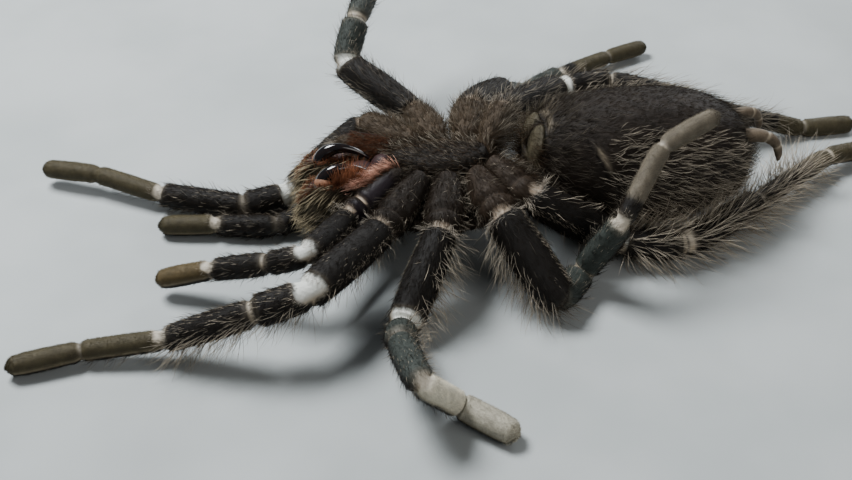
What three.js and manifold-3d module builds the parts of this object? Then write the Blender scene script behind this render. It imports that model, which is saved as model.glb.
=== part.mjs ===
// A large bird-eating spider lying on its back in the moulting posture, life-size.
// Millimetres, +Z up. The head points to -X, the belly faces up, and the spider's right side is at -Y.
// The floor is z = 0: the abdomen's back and the lowest limb pieces are cut flat there.

import * as THREE from "three";
import { mergeVertices } from "three/addons/utils/BufferGeometryUtils.js";
import Module from "manifold-3d";

const wasm = await Module();
wasm.setup();

// ---------------------------------------------------------------- driving dimensions

const jointGap = 0.3; // clear distance between neighbouring pieces
const sectionSides = 10; // facets round a limb
const floorLevel = 0;

const carapace = {
  length: 31, width: 27, frontX: -17.5, rimZ: 10.4, backZ: 3.2, headShare: 0.34, headNarrowing: 0.62,
};
const sternum = {
  bottomZ: 10.8, topZ: 17.8, crown: 0.9, labiumLength: 2.6, labiumWidth: 4.4, sideShare: 0.78, setBack: 0.5,
};
const coxaRoot = { halfWidth: 2.45, halfHeight: 4.0, z: 14.9 };
const chelicera = {
  rearX: -17.5, length: 11.5, lowZ: 4.6, highZ: 17.2, sideOffset: 3.95, halfWidth: 3.8,
};
// Points of the left fang's cubic curve, from the chelicera's end over its furrow to the mouth.
const fang = {
  baseRadius: 1.75, tipRadius: 0.3,
  path: [[-24.2, 3.4, 14.0], [-24.0, 3.7, 18.4], [-18.4, 3.4, 19.0], [-14.3, 2.3, 14.9]],
};
const abdomen = {
  frontX: 14.9, length: 44.6, halfWidth: 14.2, riseAboveAxis: 13.4, dropBelowAxis: 13.6, axisZ: 13.2,
};
const pedicel = { radius: 2.6, z: 15.2 };
const spinneret = {
  baseRadius: 1.7, tipRadius: 0.75,
  path: [[57.2, 3.4, 18.4], [63.4, 5.0, 19.6], [63.6, 5.4, 12.8]],
};
const eyeMound = { length: 3.4, width: 2.8, height: 3.2, x: -14.2, topZ: 5.4 };

// Segment lengths, and half-widths and half-heights at a segment's start, middle and end.
const limbKinds = {
  palp: {
    root: [-8.8, 3.4], base: [-20, 11.6, 12.5],
    lengths: { femur: 14, tibia: [7.8, 11.8], tarsus: 11.3 },
    halfWidth: { femur: 2.9, tibia: 2.6, tarsus: 2.3 },
  },
  leg_1: {
    root: [-5.4, 5.0], base: [-14.5, 17.2, 13.5],
    lengths: { femur: 20.5, patella: 9.5, tibia: 17.5, foot: [14.5, 12.5] },
    halfWidth: { femur: 3.6, patella: 3.3, tibia: 2.95, foot: 2.3 },
  },
  leg_2: {
    root: [-0.8, 5.6], base: [-4, 19.3, 13.8],
    lengths: { femur: 19, patella: 10, tibia: 15, foot: [13.5, 11.5] },
    halfWidth: { femur: 3.7, patella: 3.2, tibia: 2.9, foot: 2.65 },
  },
  leg_3: {
    root: [4.0, 5.0], base: [7, 17.8, 15],
    lengths: { femur: 18.5, patella: 9.5, tibia: 14, foot: [15.5, 11.5] },
    halfWidth: { femur: 4.2, patella: 3.1, tibia: 2.9, foot: 2.15 },
  },
  leg_4: {
    root: [7.4, 2.8], base: [13, 14.3, 16],
    lengths: { femur: 21, patella: 12, tibia: 21.5, foot: [24, 12] },
    halfWidth: { femur: 3.8, patella: 3.4, tibia: 3.2, foot: 2.35 },
  },
};

// The headings of each limb's segments from the base outward: degrees round from +X, then degrees up.
const pose = {
  right_palp: [[-126, 5], [161, -22], [156, -20], [166, -18]],
  left_palp: [[-129, -44], [-154, -1], [170, 0], [171, -2]],
  right_leg_1: [[-133, -1], [-172, -11], [169, -24], [176, -7], [-170, -1]],
  left_leg_1: [[-154, -30], [-166, -2], [160, 1], [150, 4], [157, -4]],
  right_leg_2: [[-124, -33], [-99, 32], [-84, 17], [36, -52], [-42, -2]],
  left_leg_2: [[136, 16], [62, 43], [67, 16], [66, 50], [59, 67]],
  right_leg_3: [[-53, -38], [52, 0], [-23, 64], [45, 40], [14, 20]],
  left_leg_3: [[56, -19], [45, -30], [41, -4], [30, -3], [22, -1]],
  right_leg_4: [[-5, -33], [-8, -2], [31, 0], [34, -1], [17, -7]],
  left_leg_4: [[42, -12], [14, -5], [-30, -3], [1, -19], [2, 0]],
};

// ---------------------------------------------------------------- finishes

function finish(color, roughness) {
  return new THREE.MeshStandardMaterial({ color, roughness, metalness: 0 });
}

const darkCoat = finish("#2a211b", 0.8);
const bellyVelvet = finish("#30221b", 0.85);
const footPad = finish("#6b6049", 0.8);
const headCoat = finish("#5a4630", 0.75);
const fangHorn = finish("#0c0a0a", 0.15);
const paleSkin = finish("#8b7f6c", 0.6);
const eyeGloss = finish("#15100d", 0.2);

// ---------------------------------------------------------------- geometry helpers

const radians = THREE.MathUtils.degToRad;
const point = (x, y, z) => new THREE.Vector3(x, y, z);

function direction([aroundDeg, upDeg]) {
  const around = radians(aroundDeg);
  const up = radians(upDeg);
  return point(Math.cos(up) * Math.cos(around), Math.cos(up) * Math.sin(around), Math.sin(up));
}

// One closed surface through a row of rings with equal counts of points, capped by a fan at each end.
function loft(rings) {
  const count = rings[0].length;
  const positions = rings.flat().flatMap((p) => [p.x, p.y, p.z]);
  const index = [];
  for (let ring = 0; ring + 1 < rings.length; ring += 1) {
    for (let side = 0; side < count; side += 1) {
      const next = (side + 1) % count;
      const a = ring * count + side;
      const b = ring * count + next;
      index.push(a, b, b + count, a, b + count, a + count);
    }
  }
  const last = (rings.length - 1) * count;
  for (let side = 1; side + 1 < count; side += 1) {
    index.push(0, side + 1, side, last, last + side, last + side + 1);
  }
  const geometry = new THREE.BufferGeometry();
  geometry.setAttribute("position", new THREE.Float32BufferAttribute(positions, 3));
  geometry.setIndex(index);
  return facingOut(geometry);
}

// Six times the enclosed volume is the sum of each triangle's triple product; a negative one is turned.
function facingOut(geometry) {
  const position = geometry.getAttribute("position");
  const index = Array.from(geometry.getIndex().array);
  let volume = 0;
  for (let i = 0; i < index.length; i += 3) {
    const [a, b, c] = [0, 1, 2].map((k) => point(0, 0, 0).fromBufferAttribute(position, index[i + k]));
    volume += a.dot(b.cross(c));
  }
  if (volume < 0) {
    for (let i = 0; i < index.length; i += 3) {
      [index[i], index[i + 1]] = [index[i + 1], index[i]];
    }
    geometry.setIndex(index);
  }
  return geometry;
}

function smoothBlend(values, t) {
  const place = t * (values.length - 1);
  const low = Math.min(Math.floor(place), values.length - 2);
  const share = place - low;
  return values[low] + (values[low + 1] - values[low]) * share * share * (3 - 2 * share);
}

function toManifold(geometry) {
  const bare = new THREE.BufferGeometry();
  bare.setAttribute("position", geometry.getAttribute("position"));
  bare.setIndex(geometry.getIndex());
  const merged = mergeVertices(bare, 1e-4);
  return new wasm.Manifold(new wasm.Mesh({
    numProp: 3,
    vertProperties: new Float32Array(merged.getAttribute("position").array),
    triVerts: new Uint32Array(merged.getIndex().array),
  }));
}

function carve(geometry, cutting) {
  let solid = toManifold(geometry);
  for (const cutter of cutting) {
    solid = solid.subtract(toManifold(cutter));
  }
  const largest = solid.decompose().sort((a, b) => b.volume() - a.volume())[0];
  const mesh = largest.getMesh();
  const carved = new THREE.BufferGeometry();
  carved.setAttribute("position", new THREE.Float32BufferAttribute(mesh.vertProperties, 3));
  carved.setIndex(Array.from(mesh.triVerts));
  return carved;
}

// ---------------------------------------------------------------- limb segments

// A tube along straight legs of a path, with an oval section and cut faces square to `startFace` and
// `endFace`, so that two neighbours meet face to face at a bent joint.
function limbTube({
  path, widths, heights, startFace, endFace, stations, endTaper,
  bottomZ = floorLevel, cutback = jointGap / 2,
}) {
  const rings = [];
  const pieces = path.length - 1;
  path.slice(0, -1).forEach((from, piece) => {
    const to = path[piece + 1];
    const along = to.clone().sub(from).normalize();
    const side = point(0, 0, 1).cross(along).normalize();
    const up = along.clone().cross(side);
    const bendTo = piece + 1 < pieces
      ? path[piece + 2].clone().sub(to).normalize().add(along)
      : endFace;
    const bendFrom = piece > 0
      ? from.clone().sub(path[piece - 1]).normalize().add(along)
      : startFace;
    const startNormal = bendFrom.clone().normalize();
    const endNormal = bendTo.clone().normalize();
    const startClear = piece > 0 ? 0 : cutback;
    const endClear = piece + 1 < pieces ? 0 : cutback;
    for (let station = piece > 0 ? 1 : 0; station < stations; station += 1) {
      const local = station / (stations - 1);
      const whole = (piece + local) / pieces;
      const nearEnd = Math.min(1, (whole * endRoundness), ((1 - whole) * endRoundness));
      const shrink = endTaper + (1 - endTaper) * Math.sqrt(1 - (1 - nearEnd) ** 2);
      const ring = [];
      for (let facet = 0; facet < sectionSides; facet += 1) {
        const angle = ((facet + 0.5) / sectionSides) * Math.PI * 2;
        const offset = side.clone().multiplyScalar(Math.cos(angle) * smoothBlend(widths, whole) * shrink)
          .add(up.clone().multiplyScalar(Math.sin(angle) * smoothBlend(heights, whole) * shrink));
        const first = (startClear - offset.dot(startNormal)) / along.dot(startNormal);
        const final = (to.clone().sub(from).sub(offset).dot(endNormal) - endClear) / along.dot(endNormal);
        const reach = first + (final - first) * local;
        const vertex = from.clone().add(offset).addScaledVector(along, reach);
        vertex.z = Math.max(vertex.z, bottomZ);
        ring.push(vertex);
      }
      rings.push(ring);
    }
  });
  return loft(rings);
}

const endRoundness = 6; // share of a segment's length over which its ends round off, as 1 over it

const scaled = (value, factors) => factors.map((factor) => value * factor);

function limbPieces(name, kindName) {
  const kind = limbKinds[kindName];
  const handed = name.startsWith("right") ? -1 : 1;
  const base = point(kind.base[0], kind.base[1] * handed, kind.base[2]);
  const root = point(kind.root[0], kind.root[1] * handed, coxaRoot.z);
  const headings = pose[name].map(direction);
  const inward = base.clone().sub(root).normalize();
  const pieces = [];
  const segments = Object.entries(kind.lengths);

  const firstFace = inward.clone().add(headings[0]);
  const rootName = kindName === "palp" ? "maxilla" : "coxa";
  const shape = {
    path: [root, base],
    widths: rootWidths[kindName],
    heights: [0.9, 1, 0.95, 0.86].map((share) => coxaRoot.halfHeight * share),
    startFace: inward, endFace: firstFace, stations: 6, endTaper: 0.86, bottomZ: carapace.rimZ + jointGap,
  };
  const body = limbTube(shape);
  const ahead = cutters.get(`${name.replace(kindName, previousKind[kindName])}_root`);
  pieces.push([`${name}_${rootName}`, darkCoat, ahead ? carve(body, [ahead]) : body]);
  cutters.set(`${name}_root`, limbTube(grown(shape)));

  let from = base;
  let face = firstFace;
  let step = 0;
  segments.forEach(([segment, lengths], order) => {
    const parts = [lengths].flat();
    const path = [from];
    parts.forEach((length, i) => {
      path.push(path[path.length - 1].clone().addScaledVector(headings[step + i], length));
    });
    step += parts.length;
    const isLast = order === segments.length - 1;
    const lastHeading = headings[step - 1];
    const endFace = isLast ? lastHeading : lastHeading.clone().add(headings[step]);
    const half = kind.halfWidth[segment];
    const shares = segmentShapes[segment];
    const tube = {
      path,
      widths: scaled(half, shares.widths),
      heights: scaled(half, shares.heights),
      startFace: face, endFace,
      stations: shares.stations,
      endTaper: shares.endTaper,
    };
    const nodeName = `${name}_${segment}`;
    const pressing = (pressedBy[nodeName] ?? []).map((other) => cutters.get(other));
    pieces.push([nodeName, isLast ? footPad : darkCoat, carve(limbTube(tube), pressing)]);
    cutters.set(nodeName, limbTube(grown(tube)));
    from = path[path.length - 1];
    face = endFace;
  });
  return pieces;
}

// Half-widths of each coxa or maxilla from the sternum outward. Each is carved to clear the one ahead.
const rootWidths = {
  palp: [2.0, 3.2, 3.6, 2.9],
  leg_1: [2.3, 3.4, 3.9, 3.5],
  leg_2: [2.45, 3.7, 4.0, 3.6],
  leg_3: [2.4, 3.6, 4.1, 3.9],
  leg_4: [2.3, 3.3, 3.8, 3.6],
};
const previousKind = { leg_1: "palp", leg_2: "leg_1", leg_3: "leg_2", leg_4: "leg_3" };

// Each piece's shape grown by the joint gap, for carving the softer neighbour it presses into.
const cutters = new Map();
const grown = (tube) => ({
  ...tube,
  widths: tube.widths.map((value) => value + jointGap),
  heights: tube.heights.map((value) => value + jointGap),
  cutback: -jointGap,
});
const pressedBy = {
  left_leg_1_femur: ["left_palp_root", "left_palp_femur"],
  right_leg_4_femur: ["abdomen"],
};

// Half-width and half-height along each segment as shares of its greatest half-width.
const segmentShapes = {
  femur: { widths: [0.86, 1, 1, 0.9], heights: [0.9, 1.1, 1.06, 0.9], stations: 6, endTaper: 0.82 },
  patella: { widths: [0.86, 1, 0.96], heights: [0.86, 1.04, 0.94], stations: 5, endTaper: 0.82 },
  tibia: { widths: [0.92, 1, 0.88], heights: [0.92, 1.02, 0.86], stations: 5, endTaper: 0.84 },
  foot: {
    widths: [0.95, 1, 1, 0.98, 0.7], heights: [0.95, 1, 0.96, 0.92, 0.6], stations: 5, endTaper: 0.7,
  },
  tarsus: { widths: [0.88, 1, 1.02, 0.72], heights: [0.88, 1, 0.98, 0.66], stations: 6, endTaper: 0.7 },
};

// ---------------------------------------------------------------- body

// The carapace's outline: an egg whose front third narrows to the head.
function carapaceHalfWidth(t) {
  const egg = (1 - Math.abs(2 * t ** 0.9 - 1) ** 2.6) ** 0.42;
  const head = THREE.MathUtils.smoothstep(t, 0, carapace.headShare * 1.6);
  return (carapace.width / 2) * egg * (carapace.headNarrowing + (1 - carapace.headNarrowing) * head);
}

function carapaceGeometry(grow) {
  const rings = [];
  const stations = 14;
  for (let station = 0; station < stations; station += 1) {
    const t = 0.01 + (station / (stations - 1)) * 0.98;
    const x = carapace.frontX + carapace.length * t;
    const half = carapaceHalfWidth(t) + grow;
    const dome = Math.sin(Math.PI * Math.min(1, 0.3 + t * 0.62)) ** 0.5;
    const depth = (carapace.rimZ - carapace.backZ) * dome + grow;
    const ring = [];
    for (let step = 0; step <= 12; step += 1) {
      const angle = (step / 12) * Math.PI;
      ring.push(point(x, half * Math.cos(angle), carapace.rimZ - depth * Math.sin(angle) ** 0.75));
    }
    rings.push(ring);
  }
  return loft(rings);
}

// The sternum's sides run along the inner faces of the eight coxae and the two maxillae.
function sternumOutline() {
  const corners = [];
  ["palp", "leg_1", "leg_2", "leg_3", "leg_4"].forEach((kindName) => {
    const kind = limbKinds[kindName];
    const outward = new THREE.Vector2(kind.base[0] - kind.root[0], kind.base[1] - kind.root[1]).normalize();
    const along = new THREE.Vector2(outward.y, -outward.x);
    const middle = new THREE.Vector2(...kind.root).addScaledVector(outward, -sternum.setBack);
    const half = coxaRoot.halfWidth * sternum.sideShare;
    corners.push(middle.clone().addScaledVector(along, -half), middle.clone().addScaledVector(along, half));
  });
  const labiumX = corners[0].x - sternum.labiumLength;
  const rightHalf = [new THREE.Vector2(labiumX, sternum.labiumWidth / 2), ...corners];
  const leftHalf = rightHalf.map((corner) => new THREE.Vector2(corner.x, -corner.y)).reverse();
  return [...rightHalf, ...leftHalf];
}

function sternumGeometry() {
  const outline = sternumOutline();
  const layers = [
    [sternum.bottomZ, 1], [sternum.topZ - 1.6, 1], [sternum.topZ - 0.4, 0.9],
    [sternum.topZ + sternum.crown * 0.6, 0.6], [sternum.topZ + sternum.crown, 0.2],
  ];
  return loft(layers.map(([z, share]) => (
    outline.map((corner) => point(corner.x * share, corner.y * share, z))
  )));
}

function cheliceraGeometry(handed) {
  const rings = [];
  const stations = 10;
  const middleZ = (chelicera.lowZ + chelicera.highZ) / 2;
  const halfHeight = (chelicera.highZ - chelicera.lowZ) / 2;
  for (let station = 0; station < stations; station += 1) {
    const t = station / (stations - 1);
    const swell = smoothBlend([0.78, 1, 1.02, 0.9, 0.38], t);
    const x = chelicera.rearX - chelicera.length * (t - 0.06 * Math.sin(Math.PI * t));
    const ring = [];
    for (let facet = 0; facet < 12; facet += 1) {
      const angle = ((facet + 0.5) / 12) * Math.PI * 2;
      const across = Math.cos(angle) * chelicera.halfWidth * smoothBlend([0.8, 1, 1, 0.86, 0.42], t);
      const y = Math.max(jointGap / 2, chelicera.sideOffset * (1 - 0.12 * (1 - t) ** 2) + across);
      ring.push(point(x, y * handed, middleZ - 0.6 * t + Math.sin(angle) * halfHeight * swell));
    }
    rings.push(ring);
  }
  return loft(rings);
}

// A fang's centre line is one bend from the chelicera's end, over its furrow, back to the mouth.
function fangGeometry(handed, extra) {
  const curve = new THREE.CubicBezierCurve3(...fang.path.map(([x, y, z]) => point(x, y * handed, z)));
  const stations = 9;
  const rings = [];
  for (let station = 0; station < stations; station += 1) {
    const t = station / (stations - 1);
    const centre = curve.getPoint(t);
    const along = curve.getTangent(t);
    const side = point(0, 1, 0).addScaledVector(along, -along.y).normalize();
    const up = side.clone().cross(along);
    const radius = fang.tipRadius + (fang.baseRadius - fang.tipRadius) * (1 - t) ** 0.7 + extra;
    const ring = [];
    for (let facet = 0; facet < 8; facet += 1) {
      const angle = (facet / 8) * Math.PI * 2;
      ring.push(centre.clone().addScaledVector(side, Math.cos(angle) * radius)
        .addScaledVector(up, Math.sin(angle) * radius));
    }
    rings.push(ring);
  }
  return loft(rings);
}

function abdomenGeometry(grow) {
  const rings = [];
  const stations = 18;
  for (let station = 0; station < stations; station += 1) {
    const t = (1 - Math.cos((Math.PI * station) / (stations - 1))) / 2;
    const egg = Math.max(0, 1 - Math.abs(2 * t ** 0.92 - 1) ** 2.4) ** 0.47;
    const neck = pedicel.radius * (1 - t) ** 12;
    const x = abdomen.frontX + abdomen.length * t + grow * (2 * t - 1);
    const axisZ = abdomen.axisZ + (pedicel.z - abdomen.axisZ) * (1 - t) ** 6;
    const ring = [];
    for (let facet = 0; facet < 18; facet += 1) {
      const angle = (facet / 18) * Math.PI * 2;
      const tall = Math.sin(angle) > 0 ? abdomen.riseAboveAxis : abdomen.dropBelowAxis;
      const y = Math.cos(angle) * (Math.max(abdomen.halfWidth * egg, neck, 0.8) + grow);
      const z = axisZ + Math.sin(angle) * (Math.max(tall * egg, neck, 0.8) + grow);
      ring.push(point(x, y, Math.max(z, floorLevel)));
    }
    rings.push(ring);
  }
  return loft(rings);
}

// The long hind spinnerets curl down past the end of the abdomen.
function spinneretGeometry(handed) {
  const [start, pull, end] = spinneret.path.map(([x, y, z]) => point(x, y * handed, z));
  const curve = new THREE.QuadraticBezierCurve3(start, pull, end);
  const stations = 8;
  const rings = [];
  for (let station = 0; station < stations; station += 1) {
    const t = station / (stations - 1);
    const centre = curve.getPoint(t);
    const along = curve.getTangent(t);
    const side = point(0, 1, 0).addScaledVector(along, -along.y).normalize();
    const up = side.clone().cross(along);
    const round = Math.sqrt(1 - Math.max(0, t * 1.25 - 0.45) ** 2);
    const radius = (spinneret.baseRadius + (spinneret.tipRadius - spinneret.baseRadius) * t) * round;
    const ring = [];
    for (let facet = 0; facet < 8; facet += 1) {
      const angle = (facet / 8) * Math.PI * 2;
      ring.push(centre.clone().addScaledVector(side, Math.cos(angle) * radius)
        .addScaledVector(up, Math.sin(angle) * radius));
    }
    rings.push(ring);
  }
  return loft(rings);
}

function eyeMoundGeometry() {
  const profile = [0, 0.35, 0.7, 0.9, 1].map((share) => new THREE.Vector2(
    Math.sin((share * Math.PI) / 2), Math.cos((share * Math.PI) / 2),
  ));
  const rings = profile.slice().reverse().slice(0, 4).map(({ x, y }) => {
    const ring = [];
    for (let facet = 0; facet < 12; facet += 1) {
      const angle = (facet / 12) * Math.PI * 2;
      ring.push(point(
        eyeMound.x + (Math.cos(angle) * eyeMound.length * x) / 2,
        (Math.sin(angle) * eyeMound.width * x) / 2,
        eyeMound.topZ - eyeMound.height * y,
      ));
    }
    return ring;
  });
  return loft(rings);
}

// ---------------------------------------------------------------- assembly

const tarantula = new THREE.Group();

function addPiece(name, material, geometry) {
  geometry.computeVertexNormals();
  const mesh = new THREE.Mesh(geometry, material);
  mesh.name = name;
  tarantula.add(mesh);
}

addPiece("carapace", darkCoat, carapaceGeometry(0));
addPiece("eye_mound", eyeGloss, carve(eyeMoundGeometry(), [carapaceGeometry(jointGap)]));
addPiece("abdomen", bellyVelvet, abdomenGeometry(0));
cutters.set("abdomen", abdomenGeometry(jointGap));

Object.keys(pose).forEach((name) => {
  const kindName = name.replace(/^(right|left)_/, "");
  limbPieces(name, kindName).forEach(([pieceName, material, geometry]) => {
    addPiece(pieceName, material, geometry);
  });
});
const roots = Object.keys(pose).map((name) => cutters.get(`${name}_root`));
addPiece("sternum", darkCoat, carve(sternumGeometry(), roots));

[["right", -1], ["left", 1]].forEach(([sideName, handed]) => {
  addPiece(`${sideName}_fang`, fangHorn, fangGeometry(handed, 0));
  addPiece(`${sideName}_chelicera`, headCoat, carve(
    cheliceraGeometry(handed),
    [
      fangGeometry(handed, jointGap),
      cutters.get(`${sideName}_palp_root`), cutters.get(`${sideName}_palp_femur`),
    ],
  ));
  addPiece(`${sideName}_spinneret`, paleSkin,
    carve(spinneretGeometry(handed), [cutters.get("abdomen")]));
});

// The origin is moved to the floor below the middle of the whole spread of the legs.
const spread = new THREE.Box3().setFromObject(tarantula);
const middle = spread.getCenter(new THREE.Vector3());
tarantula.children.forEach((mesh) => mesh.geometry.translate(-middle.x, -middle.y, -spread.min.z));

export default tarantula;
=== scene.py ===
import math
import bpy
import numpy as np
from mathutils import Matrix


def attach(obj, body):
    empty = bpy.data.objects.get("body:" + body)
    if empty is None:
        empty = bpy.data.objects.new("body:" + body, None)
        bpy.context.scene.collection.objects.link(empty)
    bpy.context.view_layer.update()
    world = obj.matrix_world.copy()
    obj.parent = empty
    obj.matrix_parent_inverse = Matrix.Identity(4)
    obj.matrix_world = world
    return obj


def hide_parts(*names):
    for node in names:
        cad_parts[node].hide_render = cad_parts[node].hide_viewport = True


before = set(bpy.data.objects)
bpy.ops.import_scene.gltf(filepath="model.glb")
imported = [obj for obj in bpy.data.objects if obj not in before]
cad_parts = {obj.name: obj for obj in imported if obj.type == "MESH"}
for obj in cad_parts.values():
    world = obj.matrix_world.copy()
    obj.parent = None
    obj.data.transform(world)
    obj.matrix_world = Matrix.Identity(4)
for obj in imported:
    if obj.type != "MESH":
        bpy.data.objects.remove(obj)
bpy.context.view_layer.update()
print("frame loaded:", len(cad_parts), "nodes")

# Everything is worked out in millimetres, on the spider's own middle line: head at -x, belly at +z.
# The frame's origin lies at this place in those measures.
middle = np.array([6.3060, 2.8834, 0.0])
toMetres = 0.001
fullTurn = 2 * math.pi
chance = np.random.default_rng(23)


def unit(vectors):
    return vectors / np.maximum(np.linalg.norm(vectors, axis=-1, keepdims=True), 1e-9)


def dot(a, b):
    return (a * b).sum(axis=-1)


# From 0 at low to 1 at high along the curve 3 s^2 - 2 s^3.
def smoothStep(low, high, value):
    share = np.clip((value - low) / (high - low), 0.0, 1.0)
    return share * share * (3.0 - 2.0 * share)


# A hump of height 1 at the centre that falls off to both sides as exp(-d^2).
def hump(value, centre, width):
    return np.exp(-((value - centre) / width) ** 2)


def mixColours(a, b, share):
    return a + (b - a) * share[..., None]


# A colour made lighter and darker by soft waves.
def mottled(colour, depth, drift):
    return colour * (1 + depth * drift)[..., None]


# The same vector, or the same row of vectors, at every point of a grid.
def everywhere(value, points):
    return np.broadcast_to(np.array(value, float), points.shape)


def perRing(values, points):
    return np.broadcast_to(values[:, None], points.shape[:2])


# Running mean of the rows; the ends carry on in a straight line.
def blur(rows, reach):
    if reach < 1:
        return rows
    front = 2 * rows[:1] - rows[reach:0:-1]
    back = 2 * rows[-1:] - rows[-2:-reach - 2:-1]
    padded = np.concatenate([front, rows, back])
    total = np.cumsum(np.concatenate([np.zeros_like(padded[:1]), padded]), axis=0)
    window = 2 * reach + 1
    return (total[window:] - total[:-window]) / window


rippleShape = {"octaves": 4, "turns": (6.28, 5.1), "fade": 0.5, "finer": 0.57, "whole": 2.2}


# Smooth waves over space: a sum of products of two sines along turned axes, each octave finer and fainter.
def ripple(points, size, seed):
    turns = np.random.default_rng(seed)
    value = np.zeros(points.shape[:-1])
    for octave in range(rippleShape["octaves"]):
        axes = unit(turns.normal(size=(2, 3)))
        shifts = turns.uniform(0, 6.28, 2)
        first, second = (
            np.sin(points @ axis * turn / size + shift)
            for axis, turn, shift in zip(axes, rippleShape["turns"], shifts))
        value += first * second / (1 + rippleShape["fade"] * octave)
        size *= rippleShape["finer"]
    return value / rippleShape["whole"]


# The camera: degrees round from the front and up, millimetres away from what it looks at.
view = {
    "around": -7.8, "up": 39.0, "distance": 229.7, "target": (-4.3, 0.0, -3.7), "focalPixels": 1150.0,
    "pictureWidth": 852.0, "sensor": 36.0, "nearest": 0.001,
}


# Turns an object so that its -z looks from one point to another and its x stays level.
def aim(obj, fromPoint, toPoint):
    away = unit(np.array(fromPoint, float) - np.array(toPoint, float))
    across = unit(np.cross([0.0, 0.0, 1.0], away))
    upward = np.cross(away, across)
    matrix = np.eye(4)
    matrix[:3, 0], matrix[:3, 1], matrix[:3, 2], matrix[:3, 3] = across, upward, away, fromPoint
    obj.matrix_world = Matrix(matrix.tolist())


def makeCamera():
    data = bpy.data.cameras.new("camera")
    data.sensor_width = view["sensor"]
    data.lens = view["sensor"] * view["focalPixels"] / view["pictureWidth"]
    data.clip_start = view["nearest"]
    obj = bpy.data.objects.new("camera", data)
    bpy.context.collection.objects.link(obj)
    around, up = math.radians(view["around"]), math.radians(view["up"])
    target = (np.array(view["target"]) - middle) * toMetres
    away = np.array([math.sin(around) * math.cos(up), -math.cos(around) * math.cos(up), math.sin(up)])
    aim(obj, target + away * view["distance"] * toMetres, target)
    bpy.context.scene.camera = obj


# Each lamp: where it stands and what it looks at (metres), its width and height, watts, colour.
lamps = {
    "keyPanel": {
        "at": (-0.20, 0.16, 0.42), "to": (0, 0, 0), "size": (0.22, 0.16), "watts": 5.0,
        "tint": (0.95, 0.98, 1.0)},
    "fillPanel": {
        "at": (0.25, -0.36, 0.30), "to": (0, 0, 0), "size": (0.35, 0.3), "watts": 0.8,
        "tint": (1.0, 0.97, 0.93)},
    "rimPanel": {
        "at": (0.30, 0.34, 0.20), "to": (0, 0, 0.01), "size": (0.2, 0.2), "watts": 1.3,
        "tint": (0.95, 0.98, 1.0)},
}
surroundings = {"colour": (0.62, 0.66, 0.70, 1.0), "strength": 0.17}


def makeLights():
    for name, lamp in lamps.items():
        data = bpy.data.lights.new(name, "AREA")
        data.shape = "RECTANGLE"
        data.size, data.size_y = lamp["size"]
        data.energy = lamp["watts"]
        data.color = lamp["tint"]
        obj = bpy.data.objects.new(name, data)
        bpy.context.collection.objects.link(obj)
        aim(obj, lamp["at"], lamp["to"])
    world = bpy.data.worlds.new("surroundings")
    world.use_nodes = True
    background = world.node_tree.nodes["Background"]
    background.inputs["Color"].default_value = surroundings["colour"]
    background.inputs["Strength"].default_value = surroundings["strength"]
    bpy.context.scene.world = world


# A node's output that sums and products can be written with.
class Value:
    def __init__(self, finish, output):
        self.finish, self.output = finish, output

    def maths(self, operation, first, second):
        return self.finish.node("ShaderNodeMath", {"operation": operation}, {0: first, 1: second})

    def __add__(self, other):
        return self.maths("ADD", self, other)

    def __sub__(self, other):
        return self.maths("SUBTRACT", self, other)

    def __rsub__(self, other):
        return self.maths("SUBTRACT", other, self)

    def __mul__(self, other):
        return self.maths("MULTIPLY", self, other)

    __radd__, __rmul__ = __add__, __mul__

    def stepped(self, low, high):
        return self.finish.node(
            "ShaderNodeMapRange", {"interpolation_type": "SMOOTHSTEP"}, {0: self, 1: low, 2: high})


# One material: its shader, and the one way that nodes are added to it.
class Finish:
    def __init__(self, name):
        self.material = bpy.data.materials.new(name)
        self.material.use_nodes = True
        self.tree = self.material.node_tree
        self.shader = self.tree.nodes["Principled BSDF"]

    def node(self, kind, settings=None, inputs=None, output=0):
        made = self.tree.nodes.new(kind)
        for key, setting in (settings or {}).items():
            setattr(made, key, setting)
        for key, given in (inputs or {}).items():
            self.give(made.inputs[key], given)
        return Value(self, made.outputs[output])

    def give(self, socket, given):
        if isinstance(given, Value):
            self.tree.links.new(given.output, socket)
        elif socket.type == "RGBA":
            socket.default_value = (*given[:3], 1.0)
        else:
            socket.default_value = given

    def mix(self, share, a, b, blend="MIX"):
        settings = {"data_type": "RGBA", "blend_type": blend}
        return self.node("ShaderNodeMix", settings, {0: share, 6: a, 7: b}, 2)

    def grey(self, value):
        return self.node("ShaderNodeCombineColor", inputs={0: value, 1: value, 2: value})

    def attribute(self, name):
        return self.node("ShaderNodeAttribute", {"attribute_name": name})

    def noise(self, size, detail=2.0, rough=0.55, stretch=None):
        where = self.node("ShaderNodeTexCoord", output="Object")
        if stretch:
            where = self.node("ShaderNodeMapping", inputs={"Vector": where, "Scale": stretch})
        return self.node(
            "ShaderNodeTexNoise", {},
            {"Vector": where, "Scale": 1.0 / (size * toMetres), "Detail": detail, "Roughness": rough})

    def bump(self, height, depth, strength=1.0):
        return self.node(
            "ShaderNodeBump", inputs={"Strength": strength, "Distance": depth * toMetres, "Height": height},
            output="Normal")

    def set(self, **sockets):
        for name, given in sockets.items():
            self.give(self.shader.inputs[name.replace("_", " ")], given)
        return self.material


# Sizes and depths in millimetres; light is how much the uneven grain brightens the tint.
skinLook = {
    "grain": 0.16, "mottle": 1.3, "grainDepth": 0.10, "wrinkle": 0.55, "wrinkleDepth": 0.14, "light": 1.3,
    "roughness": 0.58, "gloss": 0.2,
}


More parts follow.
